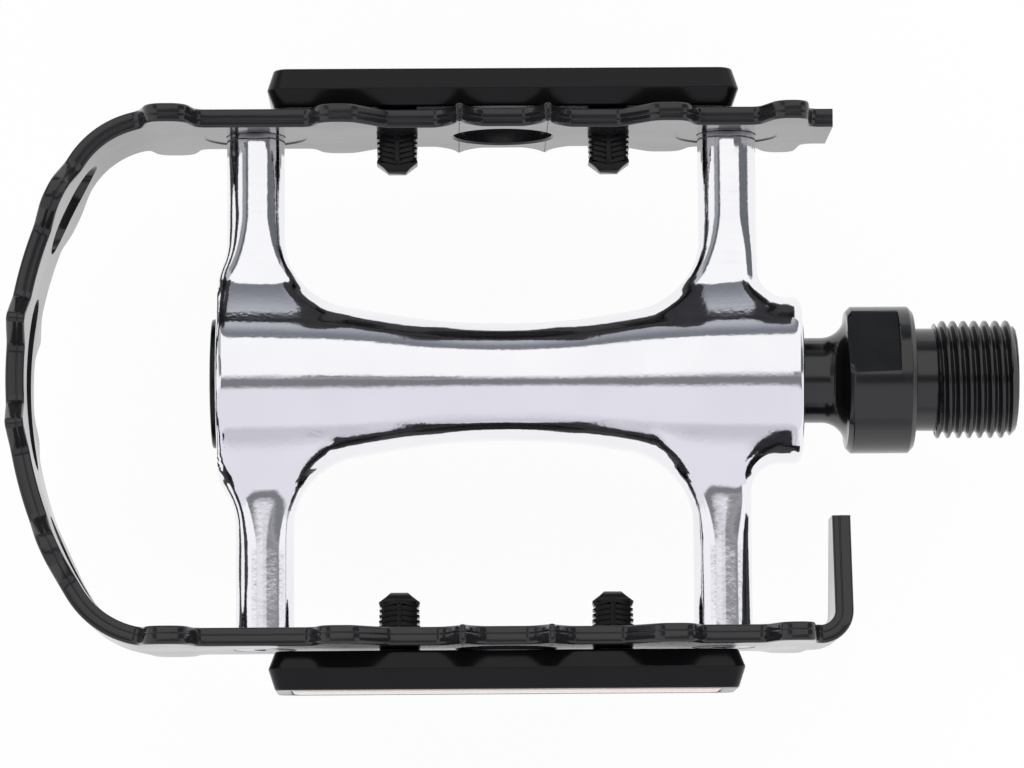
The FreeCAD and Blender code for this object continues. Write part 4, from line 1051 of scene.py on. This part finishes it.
def prism_tree():
    """Field of three-sided pyramids, point to point, that fills a rectangle in the plane of X and Z."""
    tree, sizes, out = new_tree("lens_prisms", {
        "Side": "Float", "Rise": "Float", "Across": "Int", "Rows": "Int", "Half X": "Float", "Half Z": "Float",
        "Middle": "Vector", "Turn": "Vector", "Material": "Material"})
    size = sizes.outputs
    values = dict(size.items()) | {"index": add(tree, "GeometryNodeInputIndex").outputs[0]}
    for name, operation, *inputs in (
            ("foot", "DIVIDE", "Side", math.sqrt(3)),
            ("row pitch", "MULTIPLY", "foot", 1.5),
            ("cells", "MULTIPLY", "Across", "Rows"),
            ("count", "MULTIPLY", "cells", 2.0),
            # Each cell holds one pyramid upright and one flipped
            ("flipped", "MODULO", "index", 2.0),
            ("half index", "MULTIPLY", "index", 0.5),
            ("cell", "FLOOR", "half index"),
            ("rows on", "DIVIDE", "cell", "Across"),
            ("row", "FLOOR", "rows on"),
            ("cells before", "MULTIPLY", "row", "Across"),
            ("column", "SUBTRACT", "cell", "cells before"),
            ("odd row", "MODULO", "row", 2.0),
            ("shift", "ADD", "odd row", "flipped"),
            ("shifted", "MULTIPLY_ADD", "shift", 0.5, "column"),
            ("centre x", "MULTIPLY_ADD", "Across", -0.5, "shifted"),
            ("u", "MULTIPLY", "centre x", "Side"),
            ("centre z", "MULTIPLY_ADD", "Rows", -0.5, "row"),
            ("row line", "MULTIPLY", "centre z", "row pitch"),
            ("flip rise", "MULTIPLY", "foot", 0.5),
            ("v", "MULTIPLY_ADD", "flipped", "flip rise", "row line"),
            # Pyramids outside the lens are dropped
            ("reach u", "ABSOLUTE", "u"),
            ("too wide", "GREATER_THAN", "reach u", "Half X"),
            ("reach v", "ABSOLUTE", "v"),
            ("too high", "GREATER_THAN", "reach v", "Half Z"),
            ("outside", "MAXIMUM", "too wide", "too high"),
            ("spin", "MULTIPLY_ADD", "flipped", math.pi, math.pi / 2)):
        given = {i: values.get(value, value) for i, value in enumerate(inputs)}
        values[name] = add(tree, "ShaderNodeMath", given, operation=operation).outputs[0]
    pyramid = add(tree, "GeometryNodeMeshCone", {
        "Vertices": 3, "Side Segments": 1, "Radius Top": 0.0, "Radius Bottom": values["foot"],
        "Depth": size["Rise"]}, fill_type="NONE")
    points = add(tree, "GeometryNodeMeshLine", {"Count": values["count"]}, mode="OFFSET")
    spot = add(tree, "ShaderNodeCombineXYZ", {0: values["u"], 1: values["v"]})
    placed = add(tree, "GeometryNodeSetPosition", {0: points.outputs[0], "Position": spot.outputs[0]})
    kept = add(tree, "GeometryNodeDeleteGeometry", {0: placed.outputs[0], "Selection": values["outside"]})
    turn = add(tree, "ShaderNodeCombineXYZ", {2: values["spin"]})
    turned_up = add(tree, "FunctionNodeEulerToRotation", {0: turn.outputs[0]})
    field = add(tree, "GeometryNodeInstanceOnPoints", {
        "Points": kept.outputs[0], "Instance": pyramid.outputs[0], "Rotation": turned_up.outputs[0]})
    moved = add(tree, "GeometryNodeTransform", {
        0: field.outputs[0], "Translation": size["Middle"], "Rotation": size["Turn"]})
    return end_tree(tree, moved.outputs[0], size["Material"], out)


RIBS, LENS_PRISMS = rib_tree(), prism_tree()
for side, name in ((1, "rear"), (-1, "front")):
    moulded = [housing_mesh(side)]
    for x in (PLATFORM_X - PEG_X, PLATFORM_X + PEG_X):
        moulded += peg_meshes(x, side)
    housing = smoothed(joined(moulded), MOULDED_CREASE)
    add_piece(f"{name}_housing", housing, ABS, "platform", f"{name}_reflector_housing")
    ribs = grown(RIBS, {
        "Ribs": 5, "First": Vector((PLATFORM_X - PEG_X, side * (PLATE_OUT - PEG_BACK - 0.35), 0)) * MM,
        "Step": Vector((0, -side * 0.64, 0)) * MM, "Leg": 3.0 * MM, "High": 4.4 * MM, "Thick": side * 0.34 * MM,
        "Left place": Vector((-0.95, 0, 0)) * MM, "Left lean": Vector((0, 0, -side * math.radians(12))),
        "Right place": Vector((0.95, 0, 0)) * MM, "Right lean": Vector((0, 0, side * math.radians(12))),
        "Corner": 0.7 * MM, "Taper": 0.012, "Apart": Vector((2 * PEG_X, 0, 0)) * MM, "Material": ABS})
    add_piece(f"{name}_peg_ribs", tidied(ribs, MOULDED_CREASE), None, "platform")
    prisms = grown(LENS_PRISMS, {
        "Side": 1.9 * MM, "Rise": 0.5 * MM, "Across": 28, "Rows": 6, "Half X": 24.4 * MM, "Half Z": 4.0 * MM,
        "Middle": Vector((PLATFORM_X, side * (PLATE_OUT + 4.38), 0)) * MM,
        "Turn": Vector((-side * math.pi / 2, 0, 0)), "Material": PRISMS})
    add_piece(f"{name}_lens", lens_mesh(side), ACRYLIC, "platform", f"{name}_reflector_lens")
    add_piece(f"{name}_lens_prisms", prisms, None, "platform")


# Bearing pieces keep their CAD form

for name, material in (
        ("inboard_bearing_cup", BEARING), ("outboard_bearing_cup", BEARING), ("inboard_balls", BEARING),
        ("outboard_balls", BEARING), ("adjusting_cone", BEARING), ("lock_washer", ZINC), ("lock_nut", ZINC)):
    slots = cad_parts[name].data.materials
    slots.clear()
    slots.append(material)


# Stage: a pale floor, a soft studio round it, and the photograph's camera

def studio():
    """World light: a bright soft box above and behind, a paler room in front, and grey gaps between them.

    Places are angles of lean from straight up, towards the rear (behind) and towards the crank side (across).
    """
    world = bpy.data.worlds.new("studio")
    world.use_nodes = True
    tree = world.node_tree
    tree.nodes.clear()
    way = add(tree, "ShaderNodeSeparateXYZ", {0: add(tree, "ShaderNodeTexCoord").outputs["Generated"]})
    leans = []
    for toward in (0, 1):
        lean = add(tree, "ShaderNodeMath", {0: way.outputs[toward]}, operation="ARCSINE")
        leans.append(add(tree, "ShaderNodeMath", {0: lean.outputs[0]}, operation="DEGREES").outputs[0])
    across, behind = leans
    every = (-200, 200, 1)
    # Each area's shade, and its first edge, last edge and softness in degrees, behind and across
    areas = (
        ("#B4B6BB", (5.5, 200, 1), every),
        ("#FFFFFF", (5.5, 61, 1), (-28, 47, 1.5)),
        ("#787B82", (61, 200, 1.2), every),
        ("#B6B9C0", (76, 200, 10), every),
        ("#94959A", (5, 30, 1.5), (-52, -28, 1.5)),
        ("#5E6065", (5, 30, 1.5), (-36, -28, 3)),
        ("#686C70", (5, 30, 1.5), (47, 82, 1.5)),
        ("#FAFAFC", (-12, 30, 2), (-200, -52, 2)),
        ("#FAFAFC", (-12, 30, 2), (82, 200, 2)),
        ("#FAFAFC", (-9, 5, 2), (-52, -6, 2)),
        ("#FAFAFC", (-9, 5, 2), (58, 200, 2)),
        ("#C9C8D0", (-80, -70, 5), every),
        ("#7C7D80", (-12, 2, 3.5), (-30, 58, 2)),
        ("#858688", (1.5, 5, 1.5), (7, 58, 2)),
    )
    colour = linear("#E6E4EC")
    for shade, *bands in areas:
        share = 1.0
        for lean, (low, high, soft) in zip((behind, across), bands):
            up = add(tree, "ShaderNodeMapRange", {
                "Value": lean, "From Min": low - soft, "From Max": low + soft}, interpolation_type="SMOOTHSTEP")
            down = add(tree, "ShaderNodeMapRange", {
                "Value": lean, "From Min": high - soft, "From Max": high + soft, "To Min": 1.0, "To Max": 0.0},
                interpolation_type="SMOOTHSTEP")
            both = add(tree, "ShaderNodeMath", {0: up.outputs[0], 1: down.outputs[0]}, operation="MULTIPLY")
            share = add(tree, "ShaderNodeMath", {0: share, 1: both.outputs[0]}, operation="MULTIPLY").outputs[0]
        colour = add(tree, "ShaderNodeMix", {"Factor": share, "A": colour, "B": linear(shade)},
                     data_type="RGBA").outputs["Result"]
    light = add(tree, "ShaderNodeBackground", {"Color": colour, "Strength": 1.05})
    white = add(tree, "ShaderNodeBackground", {"Color": (1, 1, 1, 1), "Strength": 1.0})
    seen = add(tree, "ShaderNodeLightPath").outputs["Is Camera Ray"]
    mixed = add(tree, "ShaderNodeMixShader", {0: seen, 1: light.outputs[0], 2: white.outputs[0]})
    add(tree, "ShaderNodeOutputWorld", {"Surface": mixed.outputs[0]})
    bpy.context.scene.world = world


def pale_floor():
    """White sweep with the pedal's soft shadow left on it, low enough for the pedal to turn over it."""
    material, tree, _ = new_finish("pale_floor")
    paper = add(tree, "ShaderNodeBsdfDiffuse", {"Color": linear("#F4F4F4")})
    glow = add(tree, "ShaderNodeEmission", {"Color": (1, 1, 1, 1), "Strength": 1.06})
    path = add(tree, "ShaderNodeLightPath")
    direct = add(tree, "ShaderNodeMath", {
        0: path.outputs["Is Camera Ray"], 1: path.outputs["Is Glossy Ray"]}, operation="MAXIMUM")
    direct = add(tree, "ShaderNodeMath", {
        0: direct.outputs[0], 1: path.outputs["Is Transmission Ray"]}, operation="MAXIMUM")
    share = add(tree, "ShaderNodeMath", {0: direct.outputs[0], 1: 0.85}, operation="MULTIPLY")
    mixed = add(tree, "ShaderNodeMixShader", {0: share.outputs[0], 1: paper.outputs[0], 2: glow.outputs[0]})
    add(tree, "ShaderNodeOutputMaterial", {"Surface": mixed.outputs[0]})
    reach, level = 3.0, -38.5 * MM
    mesh = bpy.data.meshes.new("floor")
    corners = ((-reach, -reach), (reach, -reach), (reach, reach), (-reach, reach))
    mesh.from_pydata([(x, y, level) for x, y in corners], [], [(0, 1, 2, 3)])
    mesh.materials.append(material)
    floor = put("floor", mesh)


def photo_camera():
    """Camera at the photograph's place, with the directions that are right and up in its picture."""
    lens = bpy.data.cameras.new("photo_camera")
    lens.lens, lens.sensor_width, lens.sensor_fit = 176.13, 36.0, "HORIZONTAL"
    lens.clip_start, lens.clip_end = 0.02, 20.0
    camera = put("photo_camera", lens)
    right = Vector((0.9998973, -0.0073614, 0.0122955))
    up = Vector((0.00593, 0.9936178, 0.1126429))
    back = right.cross(up)
    turn = Matrix((right, up, back)).transposed().to_4x4()
    camera.matrix_world = Matrix.Translation(Vector((-63.178, -67.755, 596.136)) * MM) @ turn
    bpy.context.scene.camera = camera


studio()
pale_floor()
photo_camera()
bpy.context.scene.view_settings.view_transform = "Standard"
